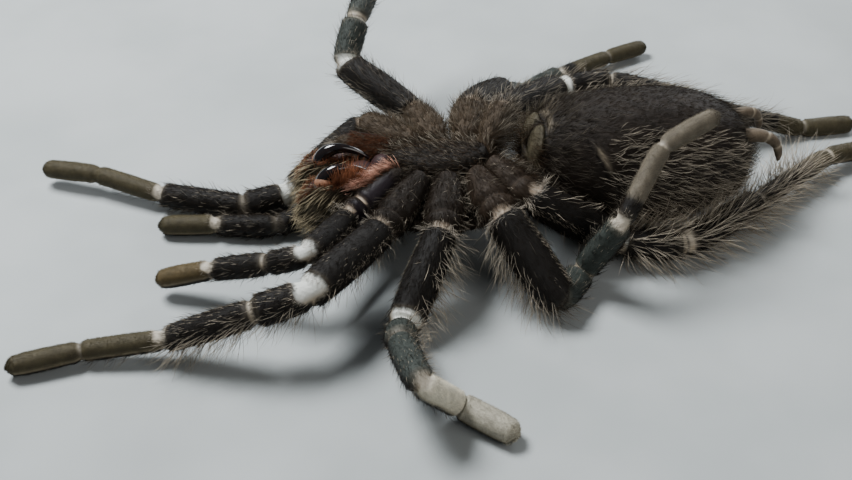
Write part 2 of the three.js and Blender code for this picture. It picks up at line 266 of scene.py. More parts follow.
# Skin: the painted tint, broken up at two sizes; bare membrane is smooth with soft folds.
def skinFinish():
    finish = Finish("spider_skin")
    feel = finish.attribute("feel")
    bare, pad = (
        finish.node("ShaderNodeSeparateColor", inputs={0: feel}, output=channel) for channel in (0, 1))
    mottle = finish.noise(skinLook["mottle"], 3.0)
    grain = finish.noise(skinLook["grain"], 2.0, 0.7)
    uneven = (mottle * 0.7 + grain * 0.9) * (1 - bare * 0.8) + bare * 0.72
    light = finish.mix(1.0, finish.grey(uneven), (skinLook["light"],) * 3, "MULTIPLY")
    rough = skinLook["roughness"] - pad * 0.04 + (grain - 0.5) * 0.25 - bare * 0.12
    fold = finish.noise(skinLook["wrinkle"], 2.0, 0.5)
    height = grain * (1 - bare) + fold * bare * (skinLook["wrinkleDepth"] / skinLook["grainDepth"])
    return finish.set(
        Base_Color=finish.mix(1.0, finish.attribute("tint"), light, "MULTIPLY"), Roughness=rough,
        Specular_IOR_Level=skinLook["gloss"], Normal=finish.bump(height, skinLook["grainDepth"]))


hairLook = {"patch": 2.2, "fine": 0.9, "darkest": 0.75, "roughness": 0.5, "gloss": 0.07}


# Hair: the tint of each hair, a little lighter or darker from place to place.
def hairFinish():
    finish = Finish("body_hair")
    drift = finish.noise(hairLook["patch"], 2.0).stepped(0.3, 0.7) * 0.5 + hairLook["darkest"]
    return finish.set(
        Base_Color=finish.mix(1.0, finish.attribute("tint"), finish.grey(drift), "MULTIPLY"),
        Roughness=finish.noise(hairLook["fine"], 1.0) * 0.2 + hairLook["roughness"],
        Specular_IOR_Level=hairLook["gloss"])


# Polished dark horn: two close colours in clouds of one size, and how rough it is at least.
horns = {
    "fang_horn": {
        "dark": (0.004, 0.0035, 0.004), "warm": (0.012, 0.006, 0.005), "cloud": 1.2, "roughness": 0.05},
    "eye_lens": {
        "dark": (0.004, 0.004, 0.005), "warm": (0.015, 0.012, 0.012), "cloud": 0.3, "roughness": 0.01},
    "claw_horn": {
        "dark": (0.010, 0.008, 0.007), "warm": (0.03, 0.02, 0.015), "cloud": 0.4, "roughness": 0.25},
}


def hornFinish(name):
    look, finish = horns[name], Finish(name)
    cloud = finish.noise(look["cloud"], 2.0)
    scratch = finish.noise(look["cloud"] * 0.12, 2.0, 0.6, (1.0, 3.0, 3.0))
    return finish.set(
        Base_Color=finish.mix(cloud.stepped(0.35, 0.75), look["dark"], look["warm"]),
        Roughness=scratch * 0.12 + look["roughness"], Coat_Weight=0.5, Normal=finish.bump(scratch, 0.01, 0.4))


floorLook = {
    "size": 3.0, "dark": (0.36, 0.385, 0.385), "light": (0.42, 0.445, 0.445), "cloud": 38.0, "grain": 0.8,
    "roughness": 0.85,
}


def floorFinish():
    finish = Finish("floor_paper")
    cloud = finish.noise(floorLook["cloud"], 3.0)
    return finish.set(
        Base_Color=finish.mix(cloud.stepped(0.3, 0.7), floorLook["dark"], floorLook["light"]),
        Roughness=floorLook["roughness"],
        Normal=finish.bump(finish.noise(floorLook["grain"], 2.0), 0.05, 0.25))


# Corner numbers of a grid of rings, closed round each ring, with a pole beyond both ends.
def gridFaces(rings, sides):
    ring, side = np.meshgrid(np.arange(rings - 1), np.arange(sides), indexing="ij")
    after = (side + 1) % sides
    quads = np.stack([
        ring * sides + side, ring * sides + after, (ring + 1) * sides + after, (ring + 1) * sides + side,
    ], axis=-1).reshape(-1, 4)
    edge = np.arange(sides)
    beyond = (edge + 1) % sides
    firstPole, lastPole = rings * sides, rings * sides + 1
    lastRing = (rings - 1) * sides
    caps = np.concatenate([
        np.stack([np.full(sides, firstPole), beyond, edge], axis=-1),
        np.stack([np.full(sides, lastPole), lastRing + edge, lastRing + beyond], axis=-1),
    ])
    return quads, caps


# Writes corners, four-sided and three-sided faces, point colours and a face-corner map in whole arrays.
def writeMesh(name, points, quads, triangles, colours, uv=None):
    mesh = bpy.data.meshes.new(name)
    mesh.vertices.add(len(points))
    metres = (points - middle) * toMetres
    mesh.vertices.foreach_set("co", metres.astype(np.float32).ravel())
    corners = np.concatenate([quads.ravel(), triangles.ravel()]).astype(np.int32)
    sizes = np.concatenate([np.full(len(quads), 4), np.full(len(triangles), 3)])
    starts = np.concatenate([[0], np.cumsum(sizes)[:-1]]).astype(np.int32)
    mesh.loops.add(len(corners))
    mesh.loops.foreach_set("vertex_index", corners)
    mesh.polygons.add(len(sizes))
    mesh.polygons.foreach_set("loop_start", starts)
    mesh.polygons.foreach_set("use_smooth", np.ones(len(sizes), bool))
    for label, values in colours.items():
        layer = mesh.color_attributes.new(name=label, type="FLOAT_COLOR", domain="POINT")
        full = np.concatenate([values, np.ones((len(values), 1))], axis=1)
        layer.data.foreach_set("color", full.astype(np.float32).ravel())
    if uv is not None:
        layer = mesh.uv_layers.new(name="OFBake")
        layer.data.foreach_set("uv", uv.astype(np.float32).ravel())
    mesh.update(calc_edges=True)
    mesh.validate()
    obj = bpy.data.objects.new(name, mesh)
    bpy.context.collection.objects.link(obj)
    return obj


def ridden(obj, material, nodes=()):
    obj.data.materials.clear()
    obj.data.materials.append(material)
    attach(obj, "root")
    if nodes:
        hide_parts(*nodes)


# A shell is a grid of rings: its points, the way out of it, the way its hair lies (forward, less what of it
# points out), each face's area, and what is painted on it.
def finishShell(points, centres, forward, **painted):
    ringStep = np.gradient(points, axis=0)
    sideStep = (np.roll(points, -1, axis=1) - np.roll(points, 1, axis=1)) / 2
    normal = np.cross(sideStep, ringStep)
    out = unit(normal)
    flip = np.sign(dot(out, points - centres).mean())
    out = out * flip
    lie = unit(forward - dot(forward, out)[..., None] * out)
    nothing = np.zeros(points.shape[:2])
    return {
        "points": points, "out": out, "lie": lie, "area": np.linalg.norm(normal, axis=-1), "turned": flip < 0,
        "tint": np.zeros(points.shape), "bare": nothing, "pad": nothing, **painted}


# One mesh of several shells, each closed by a pole at both ends, with its tint and its feel: bare, pad.
def joinShells(name, shells):
    allPoints, allQuads, allCaps, tints, feels = [], [], [], [], []
    count = 0
    for shell in shells:
        points = shell["points"]
        rings, sides = points.shape[:2]
        quads, caps = gridFaces(rings, sides)
        if shell["turned"]:
            quads, caps = quads[:, ::-1], caps[:, ::-1]
        allQuads.append(quads + count)
        allCaps.append(caps + count)
        feel = np.stack([shell["bare"], shell["pad"], shell["bare"] * 0], axis=-1)
        for store, grid in ((allPoints, points), (tints, np.clip(shell["tint"], 0, 1)), (feels, feel)):
            poles = np.stack([grid[0].mean(axis=0), grid[-1].mean(axis=0)])
            store.append(np.concatenate([grid.reshape(-1, 3), poles]))
        count += rings * sides + 2
    return writeMesh(
        name, np.concatenate(allPoints), np.concatenate(allQuads), np.concatenate(allCaps),
        {"tint": np.concatenate(tints), "feel": np.concatenate(feels)})


palette = {
    "cuticle": (0.0062, 0.0048, 0.0038),
    "velvet": (0.0125, 0.0082, 0.0052),
    "membrane": (0.60, 0.61, 0.57),
    "rim": (0.34, 0.28, 0.20),
    "scopula": (0.058, 0.048, 0.026),
    # The next three are the foot's brush painted with its sheen: pale, grey and gold.
    "paleSheenPad": (0.66, 0.615, 0.49),
    "greySheenPad": (0.125, 0.106, 0.078),
    "goldSheenPad": (0.088, 0.064, 0.029),
    "greenSheen": (0.040, 0.048, 0.042),
    "hairTip": (0.36, 0.31, 0.24),
    "brownHair": (0.060, 0.038, 0.022),
    "goldHair": (0.36, 0.295, 0.19),
    "orangeHair": (0.46, 0.17, 0.08),
    "pinkHair": (0.55, 0.30, 0.22),
    "fuzz": (0.50, 0.44, 0.36),
    "mouth": (0.024, 0.010, 0.010),
    "knob": (0.40, 0.20, 0.12),
    "plum": (0.0062, 0.0032, 0.0056),
    "trochanterSkin": (0.40, 0.31, 0.23),
    "lungCover": (0.078, 0.066, 0.040),
    "slit": (0.004, 0.003, 0.003),
    "spinneret": (0.10, 0.075, 0.05),
    "lens": (0.01, 0.01, 0.01),
}
palette = {name: np.array(colour) for name, colour in palette.items()}


def shade(name, strength=1.0):
    return palette[name] * strength


# Each kind of limb: where it leaves the body, the end of its coxa, the coxa's half-widths, and the length and
# half-width of each segment. These are of the left side, y > 0.
kinds = {
    "palp": {
        "root": (-8.8, 3.4), "base": (-20, 11.6, 12.5), "coxa": [2.0, 3.2, 3.6, 2.9],
        "segments": {"femur": (14, 2.9), "patella": (7.8, 2.6), "tibia": (11.8, 2.6), "tarsus": (11.3, 2.3)},
    },
    "leg_1": {
        "root": (-5.4, 5.0), "base": (-14.5, 17.2, 13.5), "coxa": [2.3, 3.4, 3.9, 3.5],
        "segments": {
            "femur": (20.5, 3.6), "patella": (9.5, 3.3), "tibia": (17.5, 2.95), "metatarsus": (14.5, 2.3),
            "tarsus": (12.5, 2.3)},
    },
    "leg_2": {
        "root": (-0.8, 5.6), "base": (-4, 19.3, 13.8), "coxa": [2.45, 3.7, 4.0, 3.6],
        "segments": {
            "femur": (19, 3.7), "patella": (10, 3.2), "tibia": (15, 2.9), "metatarsus": (13.5, 2.65),
            "tarsus": (11.5, 2.65)},
    },
    "leg_3": {
        "root": (4.0, 5.0), "base": (7, 17.8, 15), "coxa": [2.4, 3.6, 4.1, 3.9],
        "segments": {
            "femur": (18.5, 4.2), "patella": (9.5, 3.1), "tibia": (14, 2.9), "metatarsus": (15.5, 2.15),
            "tarsus": (11.5, 2.15)},
    },
    "leg_4": {
        "root": (7.4, 2.8), "base": (13, 14.3, 16), "coxa": [2.3, 3.3, 3.8, 3.6],
        "segments": {
            "femur": (21, 3.8), "patella": (12, 3.4), "tibia": (21.5, 3.2), "metatarsus": (24, 2.35),
            "tarsus": (12, 2.35)},
    },
}
# Height of the middle line, half-heights, the trochanter's length, how brown the near side's coxae are,
# darkest in front, which stands for painted shade, and the brown and gold of the far side's, lighter, which
# stands for painted light.
coxa = {
    "z": 14.9, "halfHeights": [3.6, 4.0, 3.8, 3.44], "trochanter": 3.2,
    "nearShadedBrown": {"palp": 0.3, "leg_1": 0.22, "leg_2": 0.25, "leg_3": 0.5, "leg_4": 0.5}, "farLitBrownGold": (0.7, 0.06),
}

# The headings of each limb's segments from the base outward: degrees round from +x, then degrees up.
# facing is where the underside of the limb looks, pad is the colour of its foot's brush, where pale, grey and
# gold are the same brush painted with its sheen, and bare is how far the pale skin under each joint shows, in
# millimetres, from the coxa's outer end outward.
limbs = {
    "right_palp": {
        "headings": [(-126, 5), (161, -22), (156, -20), (166, -18)], "facing": (0, 0.2, 1), "pad": "goldSheenPad",
        "bare": (0.3, 0.5, 1.35, 0.4, 1.2)},
    "left_palp": {
        "headings": [(-129, -44), (-154, -1), (170, 0), (171, -2)], "facing": (0, -0.1, 1), "pad": "scopula",
        "bare": (0, 0.4, 1.35, 0.25, 0.9)},
    "right_leg_1": {
        "headings": [(-133, -1), (-172, -11), (169, -24), (176, -7), (-170, -1)], "facing": (0, 0.15, 1),
        "pad": "scopula", "bare": (0, 0.4, 2.0, 0.4, 1.5, 0.2)},
    "left_leg_1": {
        "headings": [(-154, -30), (-166, -2), (160, 1), (150, 4), (157, -4)], "facing": (0, -0.3, 1),
        "pad": "scopula", "bare": (0, 0.3, 1.7, 0.2, 1.0, 0)},
    "right_leg_2": {
        "headings": [(-124, -33), (-99, 32), (-84, 17), (36, -52), (-42, -2)], "facing": (0.3, -0.1, 1),
        "pad": "paleSheenPad", "bare": (0, 0.4, 2.7, 0.35, 0.8, 0.2)},
    "left_leg_2": {
        "headings": [(136, 16), (62, 43), (67, 16), (66, 50), (59, 67)], "facing": (0.3, -0.8, 0.6),
        "pad": "scopula", "bare": (0, 0.4, 1.2, 0.6, 0.8, 0)},
    "right_leg_3": {
        "headings": [(-53, -38), (52, 0), (-23, 64), (45, 40), (14, 20)], "facing": (-0.6, -0.5, 0.7),
        "pad": "greySheenPad", "bare": (0, 0.5, 0, 1.1, 1.0, 0.4)},
    "left_leg_3": {
        "headings": [(56, -19), (45, -30), (41, -4), (30, -3), (22, -1)], "facing": (0, -0.3, 1),
        "pad": "scopula", "bare": (0, 0.4, 1.3, 0.6, 0.9, 0.2)},
    "right_leg_4": {
        "headings": [(-5, -33), (-8, -2), (31, 0), (34, -1), (17, -7)], "facing": (-0.1, 0.1, 1),
        "pad": "scopula", "bare": (0, 0.6, 0.3, 1.2, 0.6, 0.5)},
    "left_leg_4": {
        "headings": [(42, -12), (14, -5), (-30, -3), (1, -19), (2, 0)], "facing": (0, -0.3, 1),
        "pad": "scopula", "bare": (0, 0.4, 1.5, 0.6, 0.9, 0.2)},
}

# Share of a segment's half-width at stations along it.
outlines = {
    "femur": [(0, 0.80), (0.10, 0.93), (0.45, 1.02), (0.8, 0.98), (0.93, 0.93), (1, 0.84)],
    "patella": [(0, 0.84), (0.15, 0.95), (0.5, 1.0), (0.85, 0.98), (0.95, 0.93), (1, 0.86)],
    "tibia": [(0, 0.86), (0.12, 0.96), (0.45, 1.0), (0.85, 0.94), (0.95, 0.9), (1, 0.82)],
    "metatarsus": [(0, 0.86), (0.12, 0.98), (0.5, 1.0), (0.88, 0.99), (0.96, 0.94), (1, 0.86)],
    "tarsus": [(0, 0.86), (0.10, 0.98), (0.5, 1.03), (0.8, 1.0), (0.9, 0.93), (0.96, 0.80), (1, 0.5)],
}
# At each joint: millimetres each side of it that show bare all round, how white the skin is, and where round
# the limb a bare patch starts and where it has its full width, from 0 on the back to 1 on the underside.
joints = {
    "coxa": {"ring": 0.0, "white": 0.1, "spread": (0.82, 0.96)},
    "trochanter": {"ring": 0.05, "white": 0.1, "spread": (0.82, 0.96)},
    "femur": {"ring": 0.20, "white": 0.95, "spread": (0.40, 0.62)},
    "patella": {"ring": 0.15, "white": 0.15, "spread": (0.1, 0.6)},
    "tibia": {"ring": 0.20, "white": 0.25, "spread": (0.5, 0.85)},
    "metatarsus": {"ring": 0.12, "white": 0.2, "spread": (0.55, 0.9)},
}
limbShape = {
    "step": 0.42, "sides": 30, "coatDepth": 0.42, "bend": 2.3, "femurHeight": 1.05, "thinnest": 0.1,
    "dip": 0.15, "dipWidth": 0.55, "rim": 0.045, "rimPlace": 1.3, "bareDip": 0.09, "floorGap": 0.15,
}
padShare = {"leg_1": 1.0, "leg_2": 1.0, "leg_3": 0.72, "leg_4": 0.3, "palp": 1.0}  # of the metatarsus
# Segments that get a painted green sheen, a colour standing for the shine of their short flat hair:
greenSegments = {"leg_2": (2, 3), "leg_3": (2, 3)}  # 0 coxa, 1 femur, 2 patella ...


def circle(sides):
    return np.linspace(0, fullTurn, sides, endpoint=False)


def sideOf(name):
    return -1 if name.startswith("right") else 1


def heading(turn, rise):
    turn, rise = math.radians(turn), math.radians(rise)
    return np.array([math.cos(rise) * math.cos(turn), math.cos(rise) * math.sin(turn), math.sin(rise)])


# The corners of a limb's middle line: where the coxa leaves the body, the trochanter, then each joint.
def limbCorners(name, kind):
    side = sideOf(name)
    root = np.array([kind["root"][0], kind["root"][1] * side, coxa["z"]])
    base = np.array([kind["base"][0], kind["base"][1] * side, kind["base"][2]])
    corners = [root, base + unit(root - base) * coxa["trochanter"], base]
    for (length, _), turnRise in zip(kind["segments"].values(), limbs[name]["headings"]):
        corners.append(corners[-1] + heading(*turnRise) * length)
    return np.array(corners)


# A line through corners at even steps, its bends rounded by a running mean.
def bentLine(corners, step, reach):
    runs = np.concatenate([[0], np.cumsum(np.linalg.norm(np.diff(corners, axis=0), axis=1))])
    along = np.linspace(0, runs[-1], int(runs[-1] / step) + 1)
    line = np.stack([np.interp(along, runs, corners[:, axis]) for axis in range(3)], axis=1)
    return blur(blur(line, reach), reach), along, runs


# Point = middle line + across * half-width * sin(angle) + underside * half-height * cos(angle):
# an oval section carried along a line, angle 0 on the underside. Gives the points and the way ahead.
def sweep(line, underside, wide, tall, sides):
    forward = unit(np.gradient(line, axis=0))
    across = unit(np.cross(forward, underside))
    up = np.cross(across, forward)
    angle = circle(sides)
    points = (
        line[:, None] + across[:, None] * (wide * np.sin(angle))[..., None]
        + up[:, None] * (tall * np.cos(angle))[..., None])
    return points, everywhere(forward[:, None], points)


# The way the underside looks along a limb: the limb's own facing, and straight up along the coxa.
def limbUnderside(name, line, along, coxaEnd):
    forward = unit(np.gradient(line, axis=0))
    facing = unit(np.array(limbs[name]["facing"], float))
    under = unit(facing - dot(forward, facing)[:, None] * forward)
    upright = unit(np.array([0, 0, 1.0]) - forward[:, 2:] * forward)
    share = smoothStep(coxaEnd - 3, coxaEnd + 3, along)[:, None]
    return blur(unit(upright * (1 - share) + under * share), 6)


# Half-widths and half-heights along a limb: the coxa's stations, then each segment's outline, less the
# depth of the coat, with both ends rounded off as a square root.
def limbSection(kind, along, runs):
    coxaLine, stations = np.linspace(0, 1, 9), np.linspace(0, 1, 4)
    narrowed = 1 - 0.10 * hump(coxaLine, 1, 0.12)
    places = list(coxaLine * runs[2])
    widths = list(np.interp(coxaLine, stations, kind["coxa"]) * narrowed)
    heights = list(np.interp(coxaLine, stations, coxa["halfHeights"]) * narrowed)
    for start, (segment, (length, half)) in zip(runs[2:], kind["segments"].items()):
        for place, part in outlines[segment]:
            places.append(start + place * length + (0.01 if place == 0 else 0))
            widths.append(half * part)
            heights.append(half * part * (limbShape["femurHeight"] if segment == "femur" else 1.0))
    nose = np.sqrt(np.clip((along[-1] - along + 0.10) / 1.2, 0, 1) * np.clip((along + 0.12) / 1.4, 0, 1))
    halves = []
    for values in (widths, heights):
        half = np.interp(along, places, values)
        half[:-4] = blur(half, 2)[:-4]
        halves.append(np.maximum((half - limbShape["coatDepth"]) * nose, limbShape["thinnest"])[:, None])
    return halves


# What shows at the joints, each a hump or a step of the distance from the joint: bare skin, its dark rim,
# how white it is, a dark slit, a skirt of pale hair; and how much narrower the limb is at each ring.
def jointMarks(patches, names, along, runs, angle, below):
    marks = {mark: np.zeros((len(along), len(angle))) for mark in ("bare", "rim", "white", "slit", "cuff")}
    dips = np.ones(len(along))

    def add(mark, value):
        marks[mark] = np.maximum(marks[mark], value)

    for place, name, patch in zip(runs[1:-1], ["coxa", "trochanter"] + names[:-1], patches):
        joint = joints[name]
        reach = joint["ring"] + (patch - joint["ring"]) * smoothStep(*joint["spread"], below)
        reach = reach * (1 + 0.12 * np.sin(angle * 3 + place))
        off = np.abs(along - place)[:, None]
        add("bare", (patch > 0) * (1 - smoothStep(reach - 0.22, reach + 0.22, off)))
        add("rim", hump(off, reach + 0.45, 0.35) * smoothStep(0.25, 0.7, below) * (joint["ring"] > 0.1))
        add("white", joint["white"] * (off < 3.5))
        if name in ("trochanter", "femur", "tibia"):
            add("cuff", hump(off, reach * 0.85, 0.5) * smoothStep(0.35, 0.7, below) * (patch > 0.35))
        if name in ("patella", "metatarsus"):
            add("slit", hump(off, 0, 0.17) * (patch > 0))
        depth = limbShape["dip"] / (1 + max(patch - 1, 0))
        dips *= 1 - depth * hump(along, place, limbShape["dipWidth"])
        swell = sum(hump(along, place + shift * limbShape["rimPlace"], 0.5) for shift in (-1, 1))
        dips *= 1 + limbShape["rim"] * swell
    return marks, dips[:, None]


# The colours of a limb, laid over each other: dark cuticle, a painted green sheen, a brown coxa with painted
# light on the far side and painted shade on the near side, the foot's brush with painted light and shade and
# a painted golden highlight at its edge, and at the joints a rim, bare skin and a slit.
def limbTint(name, shell, marks, drift):
    kindName, padName, side = shell["kind"], limbs[name]["pad"], shell["side"]
    along, below, pad, runs = shell["along"], shell["below"], shell["pad"], shell["runs"]
    tint = mottled(palette["cuticle"], 0.25, drift)
    tint = mixColours(tint, palette["greenSheen"], shell["green"] * 0.8)
    # Coxae: the far side's lighter and golden as painted light, the near side's darker as painted shade.
    brown, gold = coxa["farLitBrownGold"] if side > 0 else (coxa["nearShadedBrown"][kindName], 0)
    warm = shade("brownHair", brown) + shade("goldHair", gold)
    tint = mixColours(tint, warm, (shell["segment"] == 0) * 0.8)
    # The foot's brush: random tone, lighter toward the middle of the sole, which faces up, and darker at its
    # sides, as painted light and shade, with a painted highlight near its edge; a pale brush is darker on the
    # tarsus.
    padToneAndPaintedLight = 0.70 + 0.30 * smoothStep(0.25, 0.9, below) + 0.12 * drift + 0.35 * hump(below, 0.36, 0.09)
    padToneAndPaintedLight *= 1 - 0.46 * shell["paleTarsus"]
    tint = mixColours(tint, palette[padName] * padToneAndPaintedLight[..., None], pad)
    # A painted golden highlight along the edge of the brush.
    tint = mixColours(tint, shade("goldHair", 0.55), hump(below, 0.34, 0.09) * pad * 0.75)
    tint = mixColours(tint, shade("rim", 0.6), marks["rim"] * 0.2 * (1 - pad))
    membrane = mixColours(palette["rim"], palette["membrane"], smoothStep(0.45, 0.8, below) * marks["white"])
    membrane = mixColours(membrane, palette["trochanterSkin"], (along < runs[2] + 2) * 0.85)
    membrane = mixColours(membrane, palette["plum"], marks["slit"] * 0.9)
    return mixColours(tint, membrane * (0.94 + 0.1 * drift)[..., None], marks["bare"])


# A limb's skin: its section swept along its bent line, no lower than the floor.
def limbShell(name):
    kindName = name.split("_", 1)[1]
    kind, side = kinds[kindName], sideOf(name)
    names = list(kind["segments"])
    corners = limbCorners(name, kind)
    line, along, runs = bentLine(corners, limbShape["step"], int(limbShape["bend"] / limbShape["step"]))
    wide, tall = limbSection(kind, along, runs)
    angle = circle(limbShape["sides"])
    below = (1 + np.cos(angle)) / 2
    marks, dips = jointMarks(limbs[name]["bare"], names, along, runs, angle, below)
    bare = marks["bare"]
    relief = dips * (1 - limbShape["bareDip"] * bare)
    underside = limbUnderside(name, line, along, runs[2])
    points, ahead = sweep(line, underside, wide * relief, tall * relief, limbShape["sides"])
    points[..., 2] = np.maximum(points[..., 2], limbShape["floorGap"])
    shell = finishShell(points, everywhere(line[:, None], points), ahead)

    below = np.broadcast_to(below, bare.shape)
    segment = perRing(np.searchsorted(runs[2:-1], along), points)
    along = perRing(along, points)
    padStart = runs[-2]
    if "metatarsus" in names:
        padStart = padStart - padShare[kindName] * kind["segments"]["metatarsus"][0]
    pad = smoothStep(padStart - 0.4, padStart + 0.8, along) * smoothStep(0.22, 0.34, below) * (1 - bare)
    # Painted sheen: a greenish colour on the underside and sides of the patella and tibia of legs 2 and 3.
    green = np.isin(segment, greenSegments.get(kindName, ())) * smoothStep(0.25, 0.7, below)
    shell.update(
        name=name, kind=kindName, side=side, line=line, along=along, below=below, runs=runs, bare=bare,
        pad=pad, segment=segment, cuff=marks["cuff"], green=green, names=names,
        paleTarsus=(along > runs[-2]) * (limbs[name]["pad"] == "paleSheenPad"))
    shell["tint"] = limbTint(name, shell, marks, ripple(points, 5.0, 3))
    if kindName == "palp":
        outer = smoothStep(0.15, 0.55, dot(shell["out"], unit(np.array([0.0, side * 0.9, 0.25]))))
        outer = outer * (segment == 0) * smoothStep(2.0, 4.5, along) * (1 - bare)
        shell["tint"] = mixColours(shell["tint"], palette["plum"], outer * 0.9)
        shell["bare"] = np.maximum(bare, outer * 0.62)
    return shell


abdomen = {
    "front": 14.5, "length": 45.0, "halfWidth": 14.2, "rise": 13.4, "drop": 13.6, "axis": 13.2,
    "pedicel": 2.6, "pedicelHeight": 15.2, "coatDepth": 0.5, "rings": 116, "sides": 104, "pole": 0.03,
}
# The front pair of book-lung covers: place, half-length and half-width on the belly, and height.
lung = {"at": (16.0, 3.0), "size": (2.0, 2.8), "raise": 1.0}
# The furrow behind each pair, at x + bow * y^2: how far it runs to the sides, and where its hind lip is pale.
furrows = [
    {"x": 18.0, "bow": -0.035, "depth": 0.9, "width": 0.30, "sides": (0, 7.0), "lip": (0.3, 3.2)},
    {"x": 22.2, "bow": 0.035, "depth": 0.6, "width": 0.26, "sides": (8.3, 13.2), "lip": (9.6, 12.2)},
]


# Height and marks of the belly: a bump for each lung cover, a cut for each furrow and a ridge behind it.
def bellyRelief(x, y, up):
    belly = smoothStep(0.05, 0.5, up)[None, :] * np.ones_like(y)
    off = np.abs(y)
    fall = ((x - lung["at"][0]) / lung["size"][0]) ** 2 + ((off - lung["at"][1]) / lung["size"][1]) ** 2
    cover = (1 - smoothStep(0.55, 1.15, fall)) * belly
    lift = lung["raise"] * (1 - smoothStep(0.2, 1.3, fall)) * belly
    slit, lip = np.zeros_like(y), np.zeros_like(y)
    for furrow in furrows:
        (near, far), (lipNear, lipFar) = furrow["sides"], furrow["lip"]
        within = smoothStep(near - 1, near + 0.5, off) * (1 - smoothStep(far - 1.5, far, off)) * belly
        pale = smoothStep(lipNear - 1, lipNear + 0.5, off) * (1 - smoothStep(lipFar - 1, lipFar + 1, off))
        line = furrow["x"] + furrow["bow"] * y ** 2
        cut = hump(x, line, furrow["width"]) * within
        slit = np.maximum(slit, cut)
        lip = np.maximum(lip, hump(x, line + 0.85, 0.38) * within * pale)
        lift -= furrow["depth"] * cut
        lift += 0.3 * hump(x, line + 1.0, 0.6) * within
    return lift, cover, slit, lip


# An egg: x runs along the middle, and each ring is an oval of half-width W * e and half-height H * e,
# e = (1 - |2 t^0.92 - 1|^2.4)^0.47, drawn out to the narrow waist in front. The back is pressed flat.
def abdomenShell():
    shape = abdomen
    t = (1 - np.cos(np.linspace(shape["pole"], math.pi - shape["pole"], shape["rings"]))) / 2
    egg = np.clip(1 - np.abs(2 * t ** 0.92 - 1) ** 2.4, 0, 1) ** 0.47
    neck = (shape["pedicel"] - 0.4) * (1 - t) ** 12
    x = shape["front"] + shape["length"] * t
    axis = shape["axis"] + (shape["pedicelHeight"] - shape["axis"]) * (1 - t) ** 6
    wide, rise, drop = (
        np.maximum(shape[half] * egg - shape["coatDepth"] * egg, neck)[:, None]
        for half in ("halfWidth", "rise", "drop"))
    angle = circle(shape["sides"])
    up = np.cos(angle)
    y = wide * np.sin(angle)
    z = axis[:, None] + np.where(up > 0, rise, drop) * up
    points = np.stack([np.broadcast_to(x[:, None], y.shape), y, z], axis=-1)
    centres = everywhere(np.stack([x, x * 0, axis], axis=1)[:, None], points)
    lift, cover, slit, lip = bellyRelief(x[:, None], y, up)
    lift += 0.16 * ripple(points, 7.0, 5) + 0.05 * ripple(points, 2.2, 6)
    points = points + unit(points - centres) * lift[..., None]
    points[..., 2] = np.maximum(points[..., 2], limbShape["floorGap"])

    drift = ripple(points, 6.0, 8)
    tint = mottled(palette["velvet"], 0.3, drift)
    tint = mixColours(tint, palette["lungCover"] * (0.9 + 0.2 * drift)[..., None], cover * 0.85)
    tint = mixColours(tint, shade("rim", 0.6), lip * 0.75)
    return finishShell(
        points, centres, everywhere((1.0, 0, -0.1), points), tint=mixColours(tint, palette["slit"], slit),
        bare=np.clip(lip * 0.6 + slit * 0.5, 0, 1), pad=cover * 0.5, cover=cover)


chelicera = {
    "rear": -16.7, "length": 11.9, "middleZ": 10.9, "halfHeight": 6.3, "halfWidth": 3.8, "offset": 3.95,
    "tall": [0.8, 0.95, 1.0, 1.02, 0.93, 0.68], "wide": [0.84, 0.96, 1.0, 1.0, 0.92, 0.70],
    "coatDepth": 0.5, "rings": 44, "sides": 40, "groove": 0.17, "inner": 0.22,
}


# A blunt tube carried forward, taller than wide, rounded in front and grooved above for the fang. Its inner
# face is cut flat beside its twin.
def cheliceraShell(side):
    shape = chelicera
    t = np.linspace(0, 1, shape["rings"])
    x = shape["rear"] - shape["length"] * (t - 0.05 * np.sin(math.pi * t))
    y = shape["offset"] * (1 - 0.10 * (1 - t) ** 2) * side
    line = np.stack([x, y, shape["middleZ"] - 0.6 * t], axis=1)
    places = np.linspace(0, 1, 6)
    nose = np.sqrt(np.clip((1.001 - t) / 0.22, 0, 1)) ** 0.8
    tall = np.interp(t, places, shape["tall"]) * shape["halfHeight"] - shape["coatDepth"]
    wide = np.interp(t, places, shape["wide"]) * shape["halfWidth"] - shape["coatDepth"] * 0.8
    tall, wide = (blur(tall, 3) * nose)[:, None], (blur(wide, 3) * nose)[:, None]
    angle = circle(shape["sides"])
    above = hump(np.minimum(angle, fullTurn - angle), 0, 0.42)
    dent = shape["groove"] * above * (smoothStep(0.15, 0.35, t) * (1 - smoothStep(0.72, 0.86, t)))[:, None]
    points, ahead = sweep(line, everywhere((0, 0, 1.0), line), wide, tall * (1 - dent), shape["sides"])
    points[..., 1] = np.where(points[..., 1] * side < shape["inner"], shape["inner"] * side, points[..., 1])

    below = np.broadcast_to((1 + np.cos(angle)) / 2, points.shape[:2])
    front = smoothStep(0.2, 0.8, t)[:, None]
    # Golden toward the front and the top, dark brown toward the rear, where the dark stands for painted shade
    # between jaw and palp, and on the side facing down.
    tint = mixColours(shade("brownHair", 0.3), shade("goldHair", 0.22), front * smoothStep(0.0, 0.6, below))
    groove = smoothStep(0.955, 0.99, below) * smoothStep(0.1, 0.3, t)[:, None]
    tint = mottled(mixColours(tint, shade("mouth", 1.2), groove), 0.25, ripple(points, 3.0, 21))
    return finishShell(
        points, everywhere(line[:, None], points), ahead + np.array([0, 0, -0.35]), side=side, tint=tint,
        bare=groove * 0.6, below=below, t=perRing(t, points))


